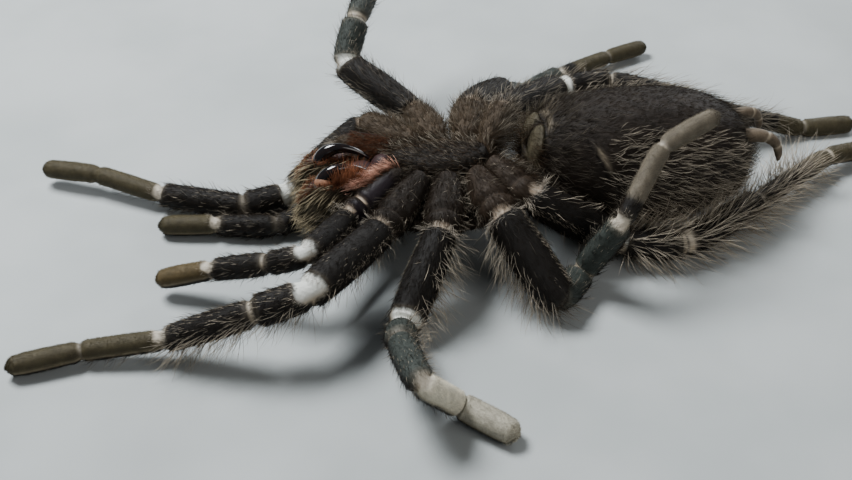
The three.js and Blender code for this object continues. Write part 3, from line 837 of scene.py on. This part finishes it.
# A rounded lump: centre + half-lengths * (-cos p, sin p sin a, sin p cos a), p from the front pole to the
# back pole and a round it, its surface moved in and out by soft waves.
def lump(centre, size, colour, rings=18, sides=24, bare=0.5, wave=0.0):
    polar = np.linspace(0.12, math.pi - 0.12, rings)[:, None]
    angle = circle(sides)
    points = np.stack([
        np.broadcast_to(-np.cos(polar), (rings, sides)), np.sin(polar) * np.sin(angle),
        np.sin(polar) * np.cos(angle),
    ], axis=-1) * np.array(size) + np.array(centre)
    centres = everywhere(centre, points)
    points = points + unit(points - centres) * (wave * ripple(points, 1.6, 31))[..., None]
    return finishShell(
        points, centres, everywhere((1.0, 0, 0), points), bare=np.full((rings, sides), bare),
        tint=mottled(colour, 0.2, ripple(points, 1.3, 33)))


# The soft parts between the limbs: lips, mouth, and the knobs that carry the fangs, one on each side.
headLumps = [
    {"centre": (-12.6, 0, 14.6), "size": (2.3, 2.5, 3.0), "colour": ("mouth", 1.0), "wave": 0.12},
    {"centre": (-16.6, 0, 13.2), "size": (3.4, 3.6, 2.8), "colour": ("mouth", 1.0), "wave": 0.15},
    {"centre": (-23.8, -3.75, 14.9), "size": (1.9, 1.9, 1.85), "colour": ("knob", 0.55), "bare": 0.8},
    {"centre": (-23.8, 3.75, 14.9), "size": (1.9, 1.9, 1.85), "colour": ("knob", 0.55), "bare": 0.8},
]
eyeMound = {"centre": (-14.2, 0, 4.3), "size": (1.75, 1.45, 1.75), "rings": 16, "sides": 20}
# Front row then back row: place on the mound and radius, on one side.
eyes = [
    {"at": (-15.2, 0.42, 3.05), "radius": 0.30}, {"at": (-15.55, 1.05, 3.55), "radius": 0.28},
    {"at": (-13.9, 0.62, 2.80), "radius": 0.20}, {"at": (-13.7, 1.10, 3.20), "radius": 0.24},
]


def eyeShells():
    made = []
    for side in (-1, 1):
        for eye in eyes:
            x, y, z = eye["at"]
            made.append(lump((x, y * side, z), (eye["radius"],) * 3, palette["lens"], 10, 14))
    return made


# A curve through three or four control points, the usual sum of powers.
def controlCurve(controls, count):
    t = np.linspace(0, 1, count)[:, None]
    controls = [np.array(control, float) for control in controls]
    degree = len(controls) - 1
    return sum(
        math.comb(degree, k) * (1 - t) ** (degree - k) * t ** k * control
        for k, control in enumerate(controls))


# A line along control points given for the left side, and each ring's share of the way along it.
def sidedCurve(shape, side):
    line = controlCurve([(x, y * side, z) for x, y, z in shape["path"]], shape["rings"])
    return line, np.linspace(0, 1, shape["rings"])


spinneret = {
    "path": [(56.6, 3.2, 17.8), (63.4, 5.0, 19.6), (63.6, 5.4, 12.8)], "base": 1.5, "tip": 0.62, "rings": 44,
    "sides": 18, "joints": (0.38, 0.70), "groove": 0.16,
}


# A tapered finger along a bent line: the radius falls evenly, dips at two joints and closes at the tip.
def spinneretShell(side):
    shape = spinneret
    line, t = sidedCurve(shape, side)
    groove = sum(hump(t, place, 0.025) for place in shape["joints"])
    radius = shape["base"] + (shape["tip"] - shape["base"]) * t
    radius = radius * (1 - shape["groove"] * groove) * np.sqrt(np.clip((1.002 - t) / 0.12, 0, 1))
    radius = radius[:, None]
    points, ahead = sweep(line, everywhere((0, side * 1.0, 0.3), line), radius, radius, shape["sides"])
    bare = perRing(np.clip(groove, 0, 1), points)
    tint = mixColours(palette["spinneret"], shade("rim", 0.8), bare)
    return finishShell(
        points, everywhere(line[:, None], points), ahead, bare=bare * 0.5,
        tint=mottled(tint, 0.25, ripple(points, 1.5, 41)))


fang = {
    "path": [(-24.2, 3.4, 14.0), (-24.0, 3.7, 18.4), (-18.4, 3.4, 19.0), (-14.3, 2.3, 14.9)], "base": 1.72,
    "tip": 0.16, "rings": 48, "sides": 24, "flatness": 0.92, "keel": 0.07,
}


# A curved cone: radius falls as (1 - t)^0.85, with a shallow keel along its inner bend.
def fangShell(side):
    shape = fang
    line, t = sidedCurve(shape, side)
    radius = shape["tip"] + (shape["base"] - shape["tip"]) * (1 - t) ** 0.85
    radius = (radius * (0.9 + 0.1 * smoothStep(0.0, 0.12, t)))[:, None]
    keel = 1 + shape["keel"] * hump(np.abs(circle(shape["sides"]) - math.pi), 0, 0.3)
    points, ahead = sweep(
        line, everywhere((-0.2, 0, 1.0), line), radius * shape["flatness"] * keel, radius * keel,
        shape["sides"])
    return finishShell(points, everywhere(line[:, None], points), ahead)


carapace = {
    "front": -17.2, "length": 30.5, "width": 27.0, "rim": 10.3, "back": 3.2, "coatDepth": 0.35, "rings": 62,
    "sides": 72, "pole": 0.10, "headWidth": 0.62, "fovea": 1.5, "foveaDepth": 1.1, "spokes": 8,
    "spokeDepth": 0.35,
}


# The back's shield, which faces the floor: rings across it, each half an oval below and nearly flat above,
# with a pit behind its middle and shallow furrows that run out from the pit.
def carapaceShell():
    shape = carapace
    t = (1 - np.cos(np.linspace(shape["pole"], math.pi - shape["pole"], shape["rings"]))) / 2
    x = shape["front"] + shape["length"] * t
    egg = (1 - np.abs(2 * np.clip(t, 0.002, 1) ** 0.9 - 1) ** 2.6) ** 0.42
    head = shape["headWidth"] + (1 - shape["headWidth"]) * smoothStep(0, 0.54, t)
    half = shape["width"] / 2 * egg * head - shape["coatDepth"]
    dome = np.sin(math.pi * np.minimum(1, 0.3 + t * 0.62)) ** 0.5
    depth = (shape["rim"] - shape["back"]) * dome - shape["coatDepth"]
    angle = circle(shape["sides"])
    fall, side = np.cos(angle), np.sin(angle)
    low = np.abs(fall) ** 0.75 * depth[:, None]
    z = shape["rim"] + np.where(fall > 0, -low, 0.35 * np.abs(fall))
    points = np.stack([np.broadcast_to(x[:, None], z.shape), half[:, None] * side, z], axis=-1)
    behind, off = points[..., 0] - shape["fovea"], points[..., 1]
    pit = hump(behind, 0, 1.6) * hump(off, 0, 2.2)
    spoke = (0.5 + 0.5 * np.cos(np.arctan2(off, behind) * shape["spokes"])) ** 6
    spoke = spoke * smoothStep(2, 9, np.hypot(behind, off))
    points[..., 2] += (fall > 0) * (shape["foveaDepth"] * pit + shape["spokeDepth"] * spoke)
    centres = np.stack([x, x * 0, x * 0 + shape["rim"] - 2], axis=1)
    tint = mottled(shade("cuticle", 1.3), 0.3, ripple(points, 4.0, 51))
    edge = smoothStep(0.75, 1.0, np.abs(side))[None, :] * np.ones_like(z)
    return finishShell(
        points, everywhere(centres[:, None], points), points - np.array([shape["fovea"], 0, 6.0]),
        tint=mixColours(tint, shade("brownHair", 0.8), edge))


sternum = {
    "x": [-11.9, -10.5, -8.7, -6.0, -1.0, 3.6, 6.7, 8.0], "half": [0.9, 1.6, 2.8, 4.1, 4.8, 4.1, 2.3, 0.8],
    "middleZ": 14.4, "halfHeight": 3.6, "rings": 60, "sides": 56,
}


# The breast plate: a shield-shaped outline, each ring |cos|^0.55 high and |sin|^0.8 wide, low at both ends.
def sternumShell():
    shape = sternum
    x = np.linspace(shape["x"][0], shape["x"][-1], shape["rings"])
    half = blur(np.interp(x, shape["x"], shape["half"]), 3)
    across, up = np.sin(circle(shape["sides"])), np.cos(circle(shape["sides"]))
    y = half[:, None] * np.sign(across) * np.abs(across) ** 0.8
    edge = np.clip(np.minimum(x - x[0], x[-1] - x) / 1.2, 0.05, 1)[:, None] ** 0.5
    crown = shape["halfHeight"] * edge * np.sign(up) * np.abs(up) ** 0.55
    points = np.stack([np.broadcast_to(x[:, None], y.shape), y, shape["middleZ"] + crown], axis=-1)
    centres = np.stack([x, x * 0, x * 0 + shape["middleZ"]], axis=1)
    return finishShell(
        points, everywhere(centres[:, None], points), everywhere((-1.0, 0, 0.15), points),
        tint=mottled(shade("cuticle", 1.5), 0.3, ripple(points, 3.0, 61)))


claw = {
    "length": 0.95, "base": 0.15, "tip": 0.04, "spread": 0.38, "sunk": 0.65, "rings": 12, "sides": 8,
    "lowest": 0.05,
}


# Two small hooks at the end of each foot, each a short curved cone.
def clawShells(limb):
    tip, before = limb["line"][-1], limb["line"][-8]
    forward = unit(tip - before)
    across = unit(np.cross([0, 0, 1.0], forward))
    up = np.cross(forward, across)
    reach, made = claw["length"], []
    for side in (-1, 1):
        start = tip - forward * claw["sunk"] + across * side * claw["spread"]
        line = controlCurve([
            start, start + forward * reach * 0.6 + up * reach * 0.35,
            start + forward * reach + across * side * 0.1 - up * reach * 0.15], claw["rings"])
        radius = np.linspace(claw["base"], claw["tip"], claw["rings"])[:, None]
        points, ahead = sweep(line, everywhere(up, line), radius, radius, claw["sides"])
        points[..., 2] = np.maximum(points[..., 2], claw["lowest"])
        made.append(finishShell(points, everywhere(line[:, None], points), ahead))
    return made


# A layer of hairs has a density (hairs per square millimetre), length, radius and lift (radians away from the
# skin), and may change what is given here. A colour is a name in the palette and its strength.
hairDefaults = {
    "lie": None, "bends": 1, "droop": 0.0, "curl": 0.0, "wander": 0.22, "shade": 0.9, "rootTint": None,
    "tip": ("brownHair", 1.0), "tipShare": 0.5,
}
planting = {"sunk": 0.08, "lowest": 0.04, "taper": 0.75, "patch": 0.003, "rootShare": 0.8}


# Corner numbers of one closed three-sided spike with so many bends, and the same corners laid on its patch of
# the bake map: the faces along it, then its tip and the cap under its root.
def hairFaces(bends):
    k, j = (grid.ravel() for grid in np.meshgrid(np.arange(bends - 1), np.arange(3), indexing="ij"))
    after = (j + 1) % 3
    quads = np.stack([k * 3 + j, k * 3 + after, k * 3 + 3 + after, k * 3 + 3 + j], axis=-1).reshape(-1, 4)
    corners = [(j, k), (j + 1, k), (j + 1, k + 1), (j, k + 1)]
    quadMap = np.stack([np.stack(corner, -1) for corner in corners], axis=1).reshape(-1, 4, 2)
    quadMap = quadMap / np.array([3.0, bends])
    edge, low, top = np.arange(3), (bends - 1) * 3, (bends - 1) / bends
    tipFaces = np.stack([low + edge, low + (edge + 1) % 3, np.full(3, 3 * bends)], axis=-1)
    tipMap = [[[e / 3, top], [(e + 1) / 3, top], [(e + 0.5) / 3, 1.0]] for e in range(3)]
    capMap = [[0.0, -0.3], [0.5, 0.0], [1.0, -0.3]]
    return quads, np.concatenate([tipFaces, [[0, 2, 1]]]), quadMap, np.array([*tipMap, capMap])


# Plants one layer of hairs on a shell. Each hair is a closed three-sided spike along
# root + length * (direction * u - out * droop * u^2 + across * curl * u^2), u from 0 to 1.
# strip is the part of the bake map's height that this shell has.
def plantHairs(shell, layer, strip):
    layer, area = {**hairDefaults, **layer}, shell["area"]
    rings, sides = area.shape
    weight = (layer["density"] * area)[:-1]
    total = weight.sum()
    count = int(total)
    if count < 1:
        return None
    picks = np.searchsorted(np.cumsum(weight.ravel()), chance.uniform(0, total, count))
    picks = np.minimum(picks, weight.size - 1)
    ring, side = picks // sides, picks % sides
    u, v = chance.uniform(size=(2, count))
    after = (side + 1) % sides

    # a number, a colour or a grid, as it is at each hair's root
    def sample(grid):
        rest = np.shape(grid)[2:] if np.ndim(grid) > 1 else np.shape(grid)
        grid = np.broadcast_to(grid, area.shape + rest)
        a, b = (share.reshape((-1,) + (1,) * len(rest)) for share in (u, v))
        near = grid[ring, side] * (1 - b) + grid[ring, after] * b
        far = grid[ring + 1, side] * (1 - b) + grid[ring + 1, after] * b
        return near * (1 - a) + far * a

    out = unit(sample(shell["out"]))
    lie = sample(shell["lie"] if layer["lie"] is None else layer["lie"])
    lie = unit(lie - dot(lie, out)[:, None] * out)
    across = np.cross(out, lie)
    turn = chance.normal(0, layer["wander"], count)[:, None]
    lie, across = lie * np.cos(turn) + across * np.sin(turn), across * np.cos(turn) - lie * np.sin(turn)
    lift = sample(layer["lift"]) * chance.uniform(0.65, 1.3, count)
    length = sample(layer["length"]) * chance.uniform(0.6, 1.2, count)
    radius = layer["radius"] * chance.uniform(0.75, 1.2, count)
    direction = lie * np.cos(lift)[:, None] + out * np.sin(lift)[:, None]
    root = sample(shell["points"]) - out * planting["sunk"]

    bends = layer["bends"]
    share = np.arange(bends + 1) / bends
    droop = (layer["droop"] * chance.uniform(0.4, 1.3, count))[:, None, None]
    curl = (layer["curl"] * chance.normal(0, 1, count))[:, None, None]
    square = (share ** 2)[None, :, None]
    line = root[:, None] + length[:, None, None] * (
        direction[:, None] * share[None, :, None] - out[:, None] * droop * square
        + across[:, None] * curl * square)
    upward = np.cross(direction, across)
    spin = chance.uniform(0, fullTurn, count)[:, None] + np.arange(3) * (fullTurn / 3)
    ringShape = across[:, None] * np.cos(spin)[..., None] + upward[:, None] * np.sin(spin)[..., None]
    thickness = radius[:, None] * (1 - share[:-1] * planting["taper"]) ** 0.7
    body = line[:, :-1, None] + ringShape[:, None] * thickness[..., None, None]
    points = np.concatenate([body.reshape(count, -1, 3), line[:, -1:]], axis=1)
    points[..., 2] = np.maximum(points[..., 2], planting["lowest"])

    base = sample(shell["tint"]) * layer["shade"]
    if layer["rootTint"]:
        base = base * (1 - planting["rootShare"]) + shade(*layer["rootTint"]) * planting["rootShare"]
    strength = np.clip(sample(layer["tipShare"]) * chance.uniform(0.2, 1.3, count), 0, 1)[:, None, None]
    rise = (np.append(np.repeat(share[:-1], 3), 1.0) ** 1.3)[None, :, None] * strength
    worn = chance.uniform(0.75, 1.25, count)[:, None, None]
    tint = (base[:, None] * (1 - rise) + shade(*layer["tip"]) * rise) * worn

    quads, triangles, quadMap, triangleMap = hairFaces(bends)
    start = (np.arange(count) * points.shape[1])[:, None, None]
    low, high = strip
    home = np.stack([(ring + u) / (rings - 1), low + (side + v) / sides * (high - low)], axis=-1)
    home = (home * 0.99 + 0.004)[:, None, None]
    return {
        "points": points.reshape(-1, 3),
        "quads": (quads[None] + start).reshape(-1, 4),
        "triangles": (triangles[None] + start).reshape(-1, 3),
        "tint": np.clip(tint, 0, 1).reshape(-1, 3),
        "quadMap": (home + quadMap[None] * planting["patch"]).reshape(-1, 2),
        "triangleMap": (home + triangleMap[None] * planting["patch"]).reshape(-1, 2),
    }


# One coat piece: several shells' layers in one mesh, each shell on its own strip of the bake map.
def makeCoat(name, planted, material):
    parts = []
    for order, (shell, layers) in enumerate(planted):
        strip = (order / len(planted), (order + 1) / len(planted))
        parts += [part for part in (plantHairs(shell, layer, strip) for layer in layers) if part]
    starts = np.cumsum([0] + [len(part["points"]) for part in parts])
    quads, triangles = (
        np.concatenate([part[key] + start for part, start in zip(parts, starts)])
        for key in ("quads", "triangles"))
    uv = np.concatenate([part[key] for key in ("quadMap", "triangleMap") for part in parts])
    points, tint = (np.concatenate([part[key] for part in parts]) for key in ("points", "tint"))
    ridden(writeMesh(name, points, quads, triangles, {"tint": tint}, uv), material)
    count = 2 * len(quads) + len(triangles)
    print(name, "triangles:", count)
    return count


# Hair of the limbs. Six numbers are for coxa, femur, patella, tibia, metatarsus and tarsus; a palp has no
# metatarsus. The fuzz makes a skirt, longer and steeper near the body.
limbCoat = {
    "short": {"density": 8.5, "length": [1.7, 1.15, 1.15, 1.25, 1.1, 0.75], "radius": 0.036, "lift": 0.30},
    "guard": {
        "density": [2.6, 0.55, 0.7, 0.7, 0.7, 0.35], "length": [3.4, 2.5, 2.4, 2.6, 2.2, 1.3],
        "radius": 0.042, "lift": 0.55, "bends": 2, "droop": 0.12, "tip": ("hairTip", 0.36)},
    "pad": {"density": 34.0, "length": 0.42, "radius": 0.032, "lift": 1.05, "wander": 0.5},
    "tuft": {
        "density": 26.0, "length": 0.5, "radius": 0.042, "lift": 1.25, "bends": 2, "wander": 0.4,
        "tipShare": 0.8},
    "fuzz": {
        "density": 7.0, "length": 1.0, "radius": 0.034, "lift": 0.5, "bends": 3, "droop": 0.15, "curl": 0.25,
        "rootTint": ("fuzz", 0.8), "tip": ("fuzz", 1.0), "tipShare": 0.9},
    # Pale hairs along each side of the coxa and femur: a real fringe whose pale colour also paints the sheen
    # line along the limb's edge.
    "edge": {
        "density": 8.5, "length": 1.05, "radius": 0.038, "lift": 0.6, "bends": 2, "droop": 0.2,
        "wander": 0.12, "rootTint": ("hairTip", 0.5), "tip": ("hairTip", 1.7), "tipShare": 1.0},
    "dash": {
        "density": [0, 0.13, 1.04, 1.3, 0.65, 0], "length": 1.5, "radius": 0.042, "lift": 0.2, "bends": 2,
        "wander": 0.08, "rootTint": ("hairTip", 0.8), "tip": ("hairTip", 1.9), "tipShare": 1.0},
}
skirt = {"reach": 2.5, "longer": 1.6, "steeper": 0.4}
dashShare = {"right_leg_1": 1.0, "right_palp": 0.4}  # the rest have a quarter
# Long bristles: how many and how long by segment, the side they stand on, and how pale their tips are.
bristleLook = {
    "radius": 0.040, "lift": 0.8, "bends": 3, "droop": 0.30, "curl": 0.16, "wander": 0.3, "tipShare": 0.9,
}
bristles = {
    "right_leg_4": [
        {"density": [0.2, 0.15, 1.8, 2.2, 2.2, 0.4], "length": [3.0, 3.5, 7.4, 8.4, 8.0, 2.5], "pale": 2.2,
         "lift": 1.05, "radius": 0.05, "droop": 0.2},
        {"density": [1.6, 0.4, 0, 0, 0, 0], "length": [4.0, 3.5, 1, 1, 1, 1], "toward": (1, 0.2, 0.2),
         "pale": 0.4, "lift": 1.0}],
    "left_leg_4": [
        {"density": [0.2, 0.35, 0.9, 1.3, 1.3, 0.5], "length": [3.0, 3.6, 5.4, 6.4, 6.2, 2.5], "pale": 1.6,
         "lift": 0.7},
        {"density": [4.5, 0.4, 0, 0, 0, 0], "length": [6.0, 3.5, 1, 1, 1, 1], "toward": (1, -0.5, 0.2),
         "pale": 0.3, "lift": 1.1}],
    "right_leg_3": [
        {"density": [0.5, 0.06, 0.3, 0.45, 0.3, 0.1], "length": [3.6, 3.2, 3.0, 3.0, 2.6, 1.5], "pale": 0.7},
        {"density": [0.4, 1.8, 0.8, 0, 0, 0], "length": [5, 8.6, 5, 3, 3, 2], "toward": (-0.3, -0.4, -0.7),
         "pale": 1.5, "lift": 1.0}],
    "left_leg_3": [
        {"density": [0.5, 0.3, 0.3, 0.5, 0.3, 0.1], "length": [3.6, 3.4, 3.0, 3.4, 3.0, 1.5], "pale": 0.6}],
    "right_leg_2": [
        {"density": [0.4, 0.06, 0.3, 0.3, 0.2, 0.1], "length": [3.0, 2.8, 2.8, 2.8, 2.4, 1.5], "pale": 0.7},
        {"density": [0.6, 2.0, 1.6, 0.7, 0.2, 0], "length": [4, 7.2, 5.2, 3.4, 2, 1], "toward": (1, 0.2, 0.1),
         "pale": 1.7, "lift": 1.15}],
    "left_leg_2": [
        {"density": [0.5, 0.7, 0.4, 0.3, 0.2, 0.1], "length": [3.4, 4.0, 3.2, 3.0, 2.6, 1.5], "pale": 0.6}],
    "right_leg_1": [
        {"density": [0.3, 0.06, 0.2, 0.2, 0.2, 0.1], "length": [2.8, 2.8, 2.8, 2.6, 2.2, 1.3], "pale": 0.9},
        {"density": [0.4, 1.0, 1.6, 2.4, 0.6, 0], "length": [3, 4.8, 6.0, 7.2, 4, 1],
         "toward": (0, -0.6, -0.8), "pale": 1.5, "lift": 1.0}],
    "left_leg_1": [
        {"density": [0.4, 0.4, 0.5, 0.5, 0.3, 0.1], "length": [3.0, 3.2, 3.0, 3.0, 2.4, 1.3], "pale": 0.6}],
    "right_palp": [
        {"density": [0.2, 0.3, 0.5, 0.5, 0, 0.1], "length": [2.4, 2.6, 2.6, 2.4, 0, 1.0], "pale": 0.7}],
    "left_palp": [
        {"density": [0.2, 0.3, 0.5, 0.5, 0, 0.1], "length": [2.4, 2.6, 2.6, 2.4, 0, 1.0], "pale": 0.5}],
}
# The orange brush on the inner face of a palp's coxa, and what differs on the near side, -1, whose bright
# pink tips are partly painted highlight, and the far side, 1, whose dark tips are painted shade.
brush = {
    "density": 30.0, "radius": 0.050, "lift": 0.7, "bends": 3, "droop": 0.25, "curl": 0.14, "wander": 0.32,
    "tipShare": 1.0,
}
brushSides = {
    -1: {"length": 3.6, "rootTint": ("orangeHair", 0.22), "tip": ("pinkHair", 1.9)},
    1: {"length": 1.9, "rootTint": ("orangeHair", 0.12), "tip": ("orangeHair", 0.2)},
}


# A layer from its settings, thinned out over the shell by share, with what varies over the shell.
def layerOf(look, share, **varied):
    return {**look, "density": look["density"] * share, **varied}


def limbLayers(shell):
    name, side, segment, along, green = (shell[key] for key in ("name", "side", "segment", "along", "green"))
    foot, runs = limbs[name]["pad"], shell["runs"]
    rows = [0, 1, 2, 3, 4, 5] if "metatarsus" in shell["names"] else [0, 1, 2, 3, 5]

    def layer(look, share, **varied):
        grids = {
            key: np.array(six, float)[rows][segment] for key, six in look.items() if isinstance(six, list)}
        return layerOf({**look, **grids}, share, **varied)

    clear = 1 - smoothStep(0.15, 0.5, shell["bare"])
    offPad = clear * (1 - shell["pad"])
    coated = offPad * smoothStep(0.0, 0.5, along)
    # Each side of the coxa and femur, where the edge hairs' pale colour paints a sheen line.
    ridge = hump(shell["below"], 0.5, 0.09) * (segment < 2)
    nearBody = 1.0 * (along < runs[2] + skirt["reach"])
    shag = np.where((segment == 0) & (side < 0), 0.35, 1.0)
    fuzz = limbCoat["fuzz"]
    layers = [
        # Fewer guard hairs and darker short-hair tips where the painted sheen is, so that it shows.
        layer(limbCoat["short"], coated, tipShare=0.45 - 0.25 * green),
        layer(limbCoat["guard"], shag * coated * (1 - 0.7 * green)),
        layer(
            limbCoat["pad"], shell["pad"] * clear, tip=(foot, 1.35),
            tipShare=0.45 - 0.3 * shell["paleTarsus"]),
        layer(
            limbCoat["tuft"], smoothStep(runs[-1] - 1.9, runs[-1] - 0.7, along), rootTint=(foot, 0.6),
            tip=(foot, 1.1)),
        layer(
            fuzz, shell["cuff"], length=fuzz["length"] + skirt["longer"] * nearBody,
            lift=fuzz["lift"] + skirt["steeper"] * nearBody),
        layer(limbCoat["edge"], ridge * coated),
        layer(limbCoat["dash"], dashShare.get(name, 0.25) * offPad),
    ]
    for group in bristles[name]:
        where = coated
        if "toward" in group:
            where = where * smoothStep(0.1, 0.75, dot(shell["out"], unit(np.array(group["toward"], float))))
        layers.append(layer(
            {**bristleLook, **group}, where, tip=("hairTip", 0.5 + 0.8 * group["pale"]),
            rootTint=("hairTip", 0.3 * group["pale"])))
    if shell["kind"] == "palp":
        inward = unit(np.array([0.15, -side * 0.75, 0.75]))
        where = smoothStep(0.45, 0.85, dot(shell["out"], inward)) * (segment == 0)
        where = where * smoothStep(0.5, 1.8, along) * (1 - smoothStep(8.0, 10.0, along))
        layers.append(layer({**brush, **brushSides[side]}, where, lie=(-0.85, -side * 0.2, 0.35)))
    return layers


abdomenCoat = {
    "nap": {
        "density": 9.0, "length": 1.15, "radius": 0.036, "lift": 0.26, "tip": ("brownHair", 0.4),
        "wander": 0.15},
    "waist": {
        "density": 7.0, "length": 4.2, "radius": 0.044, "lift": 0.7, "lie": (-0.9, 0.0, 0.3), "bends": 3,
        "droop": 0.2, "curl": 0.15, "tip": ("brownHair", 1.3), "tipShare": 0.9, "wander": 0.5},
    "flank": {
        "density": 2.4, "length": 3.4, "radius": 0.034, "lift": 0.7, "bends": 3, "droop": 0.2, "curl": 0.12,
        "rootTint": ("hairTip", 0.6), "tip": ("hairTip", 2.2), "tipShare": 1.0, "wander": 0.3},
    "guard": {
        "density": 0.8, "length": 2.5, "radius": 0.042, "lift": 0.5, "bends": 3, "droop": 0.15, "curl": 0.12,
        "tip": ("hairTip", 0.45), "tipShare": 0.8, "wander": 0.35},
}


# The abdomen's short nap first, then its three longer layers.
def abdomenLayers(shell):
    x, z, guard = shell["points"][..., 0], shell["points"][..., 2], abdomenCoat["guard"]
    offCover = (1 - shell["cover"]) * smoothStep(0.3, 1.5, z)
    clear = (1 - smoothStep(0.2, 0.6, shell["bare"])) * (1 - 0.75 * shell["cover"]) * smoothStep(0.3, 1.5, z)
    rear, front = smoothStep(46, 58, x), 1 - smoothStep(17, 26, x)
    flank = smoothStep(0.45, 0.85, np.abs(shell["out"][..., 1])) * smoothStep(24, 32, x)
    return [
        layerOf(abdomenCoat["nap"], clear),
        layerOf(abdomenCoat["waist"], offCover * (1 - smoothStep(16.0, 19.0, x))),
        layerOf(abdomenCoat["flank"], clear * flank),
        layerOf(
            guard, clear * (1 + 1.6 * rear + 3.5 * front), length=guard["length"] + 1.8 * rear + 2.0 * front),
    ]


# more is how much longer a hair gets toward the front, or where the fringe is hidden.
jawCoat = {
    "short": {
        "density": 7.0, "length": 1.8, "more": 0.7, "radius": 0.040, "lift": 0.32, "lie": (-0.75, 0.0, -0.65),
        "bends": 2, "droop": 0.1, "tip": ("goldHair", 0.28), "wander": 0.2, "shade": 0.35},
    "long": {
        "density": 2.4, "length": 3.4, "more": 2.0, "radius": 0.056, "lift": 0.36, "lie": (-0.75, 0.0, -0.65),
        "bends": 3, "droop": 0.16, "curl": 0.10, "rootTint": ("goldHair", 0.4), "tip": ("goldHair", 2.1),
        "tipShare": 1.0, "wander": 0.18},
    "fringe": {
        "density": 22, "length": 1.4, "more": 4.4, "radius": 0.046, "lift": 1.15, "bends": 3, "droop": 0.15,
        "wander": 0.5, "rootTint": ("orangeHair", 0.3), "tip": ("orangeHair", 0.6), "tipShare": 1.0},
}


def cheliceraLayers(shell):
    t, side = shell["t"], shell["side"]
    clear = (1 - smoothStep(0.15, 0.5, shell["bare"])) * smoothStep(0.02, 0.08, t)
    front = smoothStep(0.2, 0.85, t)
    groove = hump(shell["below"], 0.92, 0.06) * smoothStep(0.02, 0.12, t)
    hidden = smoothStep(-0.2, 0.5, shell["out"][..., 1] * side) * (1 - smoothStep(0.42, 0.58, t)) * (side < 0)

    def layer(look, share, place, **varied):
        return layerOf(look, share, length=look["length"] + look["more"] * place, **varied)

    return [
        # Hair tips paler toward the front; the darker rear is painted shade.
        layer(jawCoat["short"], clear, front, tipShare=0.30 + 0.45 * front),
        layer(jawCoat["long"], clear * (0.35 + 0.65 * front), front),
        layer(jawCoat["fringe"], groove * (1 + 1.4 * hidden), hidden, lie=(0.2, -side * 0.3, 0.9)),
    ]


# The two plates: hairs per square millimetre, their length, and how pale and steep the longer ones are.
plateCoats = {
    "carapace": {"density": 7.0, "length": 1.1, "pale": 0.5},
    "sternum": {"density": 9.0, "length": 2.0, "pale": 1.0},
}


def plateLayers(name):
    density, length, pale = (plateCoats[name][key] for key in ("density", "length", "pale"))
    return [
        {"density": density, "length": length, "radius": 0.036, "lift": 0.35, "tip": ("brownHair", 1 + pale),
         "tipShare": 0.7},
        {"density": 1.1 + 1.4 * pale, "length": length * 1.7, "radius": 0.046, "lift": 0.55 + 0.4 * pale,
         "bends": 2, "droop": 0.25, "curl": 0.1, "tip": ("hairTip", 1.1 * pale), "tipShare": 0.9},
    ]


def makeFloor():
    half = floorLook["size"] / 2
    mesh = bpy.data.meshes.new("floor")
    corners = [(-half, -half, 0), (half, -half, 0), (half, half, 0), (-half, half, 0)]
    mesh.from_pydata(corners, [], [(0, 1, 2, 3)])
    obj = bpy.data.objects.new("floor", mesh)
    bpy.context.collection.objects.link(obj)
    obj.data.materials.append(floorFinish())


makeCamera()
makeLights()
print("camera and lights placed")

skin, bodyHair = skinFinish(), hairFinish()
fangHorn, lensHorn, clawHorn = (hornFinish(name) for name in horns)

limbShells = {name: limbShell(name) for name in limbs}
belly = abdomenShell()
jaws = [cheliceraShell(side) for side in (-1, 1)]
lumps = [lump(**{**look, "colour": shade(*look["colour"])}) for look in headLumps]
spinners = [spinneretShell(side) for side in (-1, 1)]
shield, plate = carapaceShell(), sternumShell()
print("shells worked out")

ownPieces = ("carapace", "sternum", "eye_mound", "left_fang", "right_fang")
skinNodes = [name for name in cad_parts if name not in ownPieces]
body = joinShells("spider_skin", [*limbShells.values(), belly, *jaws, *lumps, *spinners])
ridden(body, skin, skinNodes)
ridden(joinShells("carapace_plate", [shield]), skin, ["carapace"])
ridden(joinShells("sternum_plate", [plate]), skin, ["sternum"])
for side, name in ((-1, "right_fang"), (1, "left_fang")):
    ridden(joinShells(name + "_horn", [fangShell(side)]), fangHorn, [name])
mound = lump(eyeMound["centre"], eyeMound["size"], palette["cuticle"], eyeMound["rings"], eyeMound["sides"])
ridden(joinShells("eye_hill", [mound]), skin, ["eye_mound"])
ridden(joinShells("eyes", eyeShells()), lensHorn)
hooks = [hook for shell in limbShells.values() for hook in clawShells(shell)]
ridden(joinShells("claws", hooks), clawHorn)
print("skin, plates, fangs, eyes and claws made")

total = 0
for name, shell in limbShells.items():
    total += makeCoat("coat_" + name, [(shell, limbLayers(shell))], bodyHair)
nap, *longHairs = abdomenLayers(belly)
total += makeCoat("coat_abdomen", [(belly, [nap])], bodyHair)
total += makeCoat("coat_abdomen_long", [(belly, longHairs)], bodyHair)
total += makeCoat("coat_chelicerae", [(jaw, cheliceraLayers(jaw)) for jaw in jaws], bodyHair)
plates = [(shield, plateLayers("carapace")), (plate, plateLayers("sternum"))]
total += makeCoat("coat_plates", plates, bodyHair)
print("coat made, triangles:", total)

makeFloor()
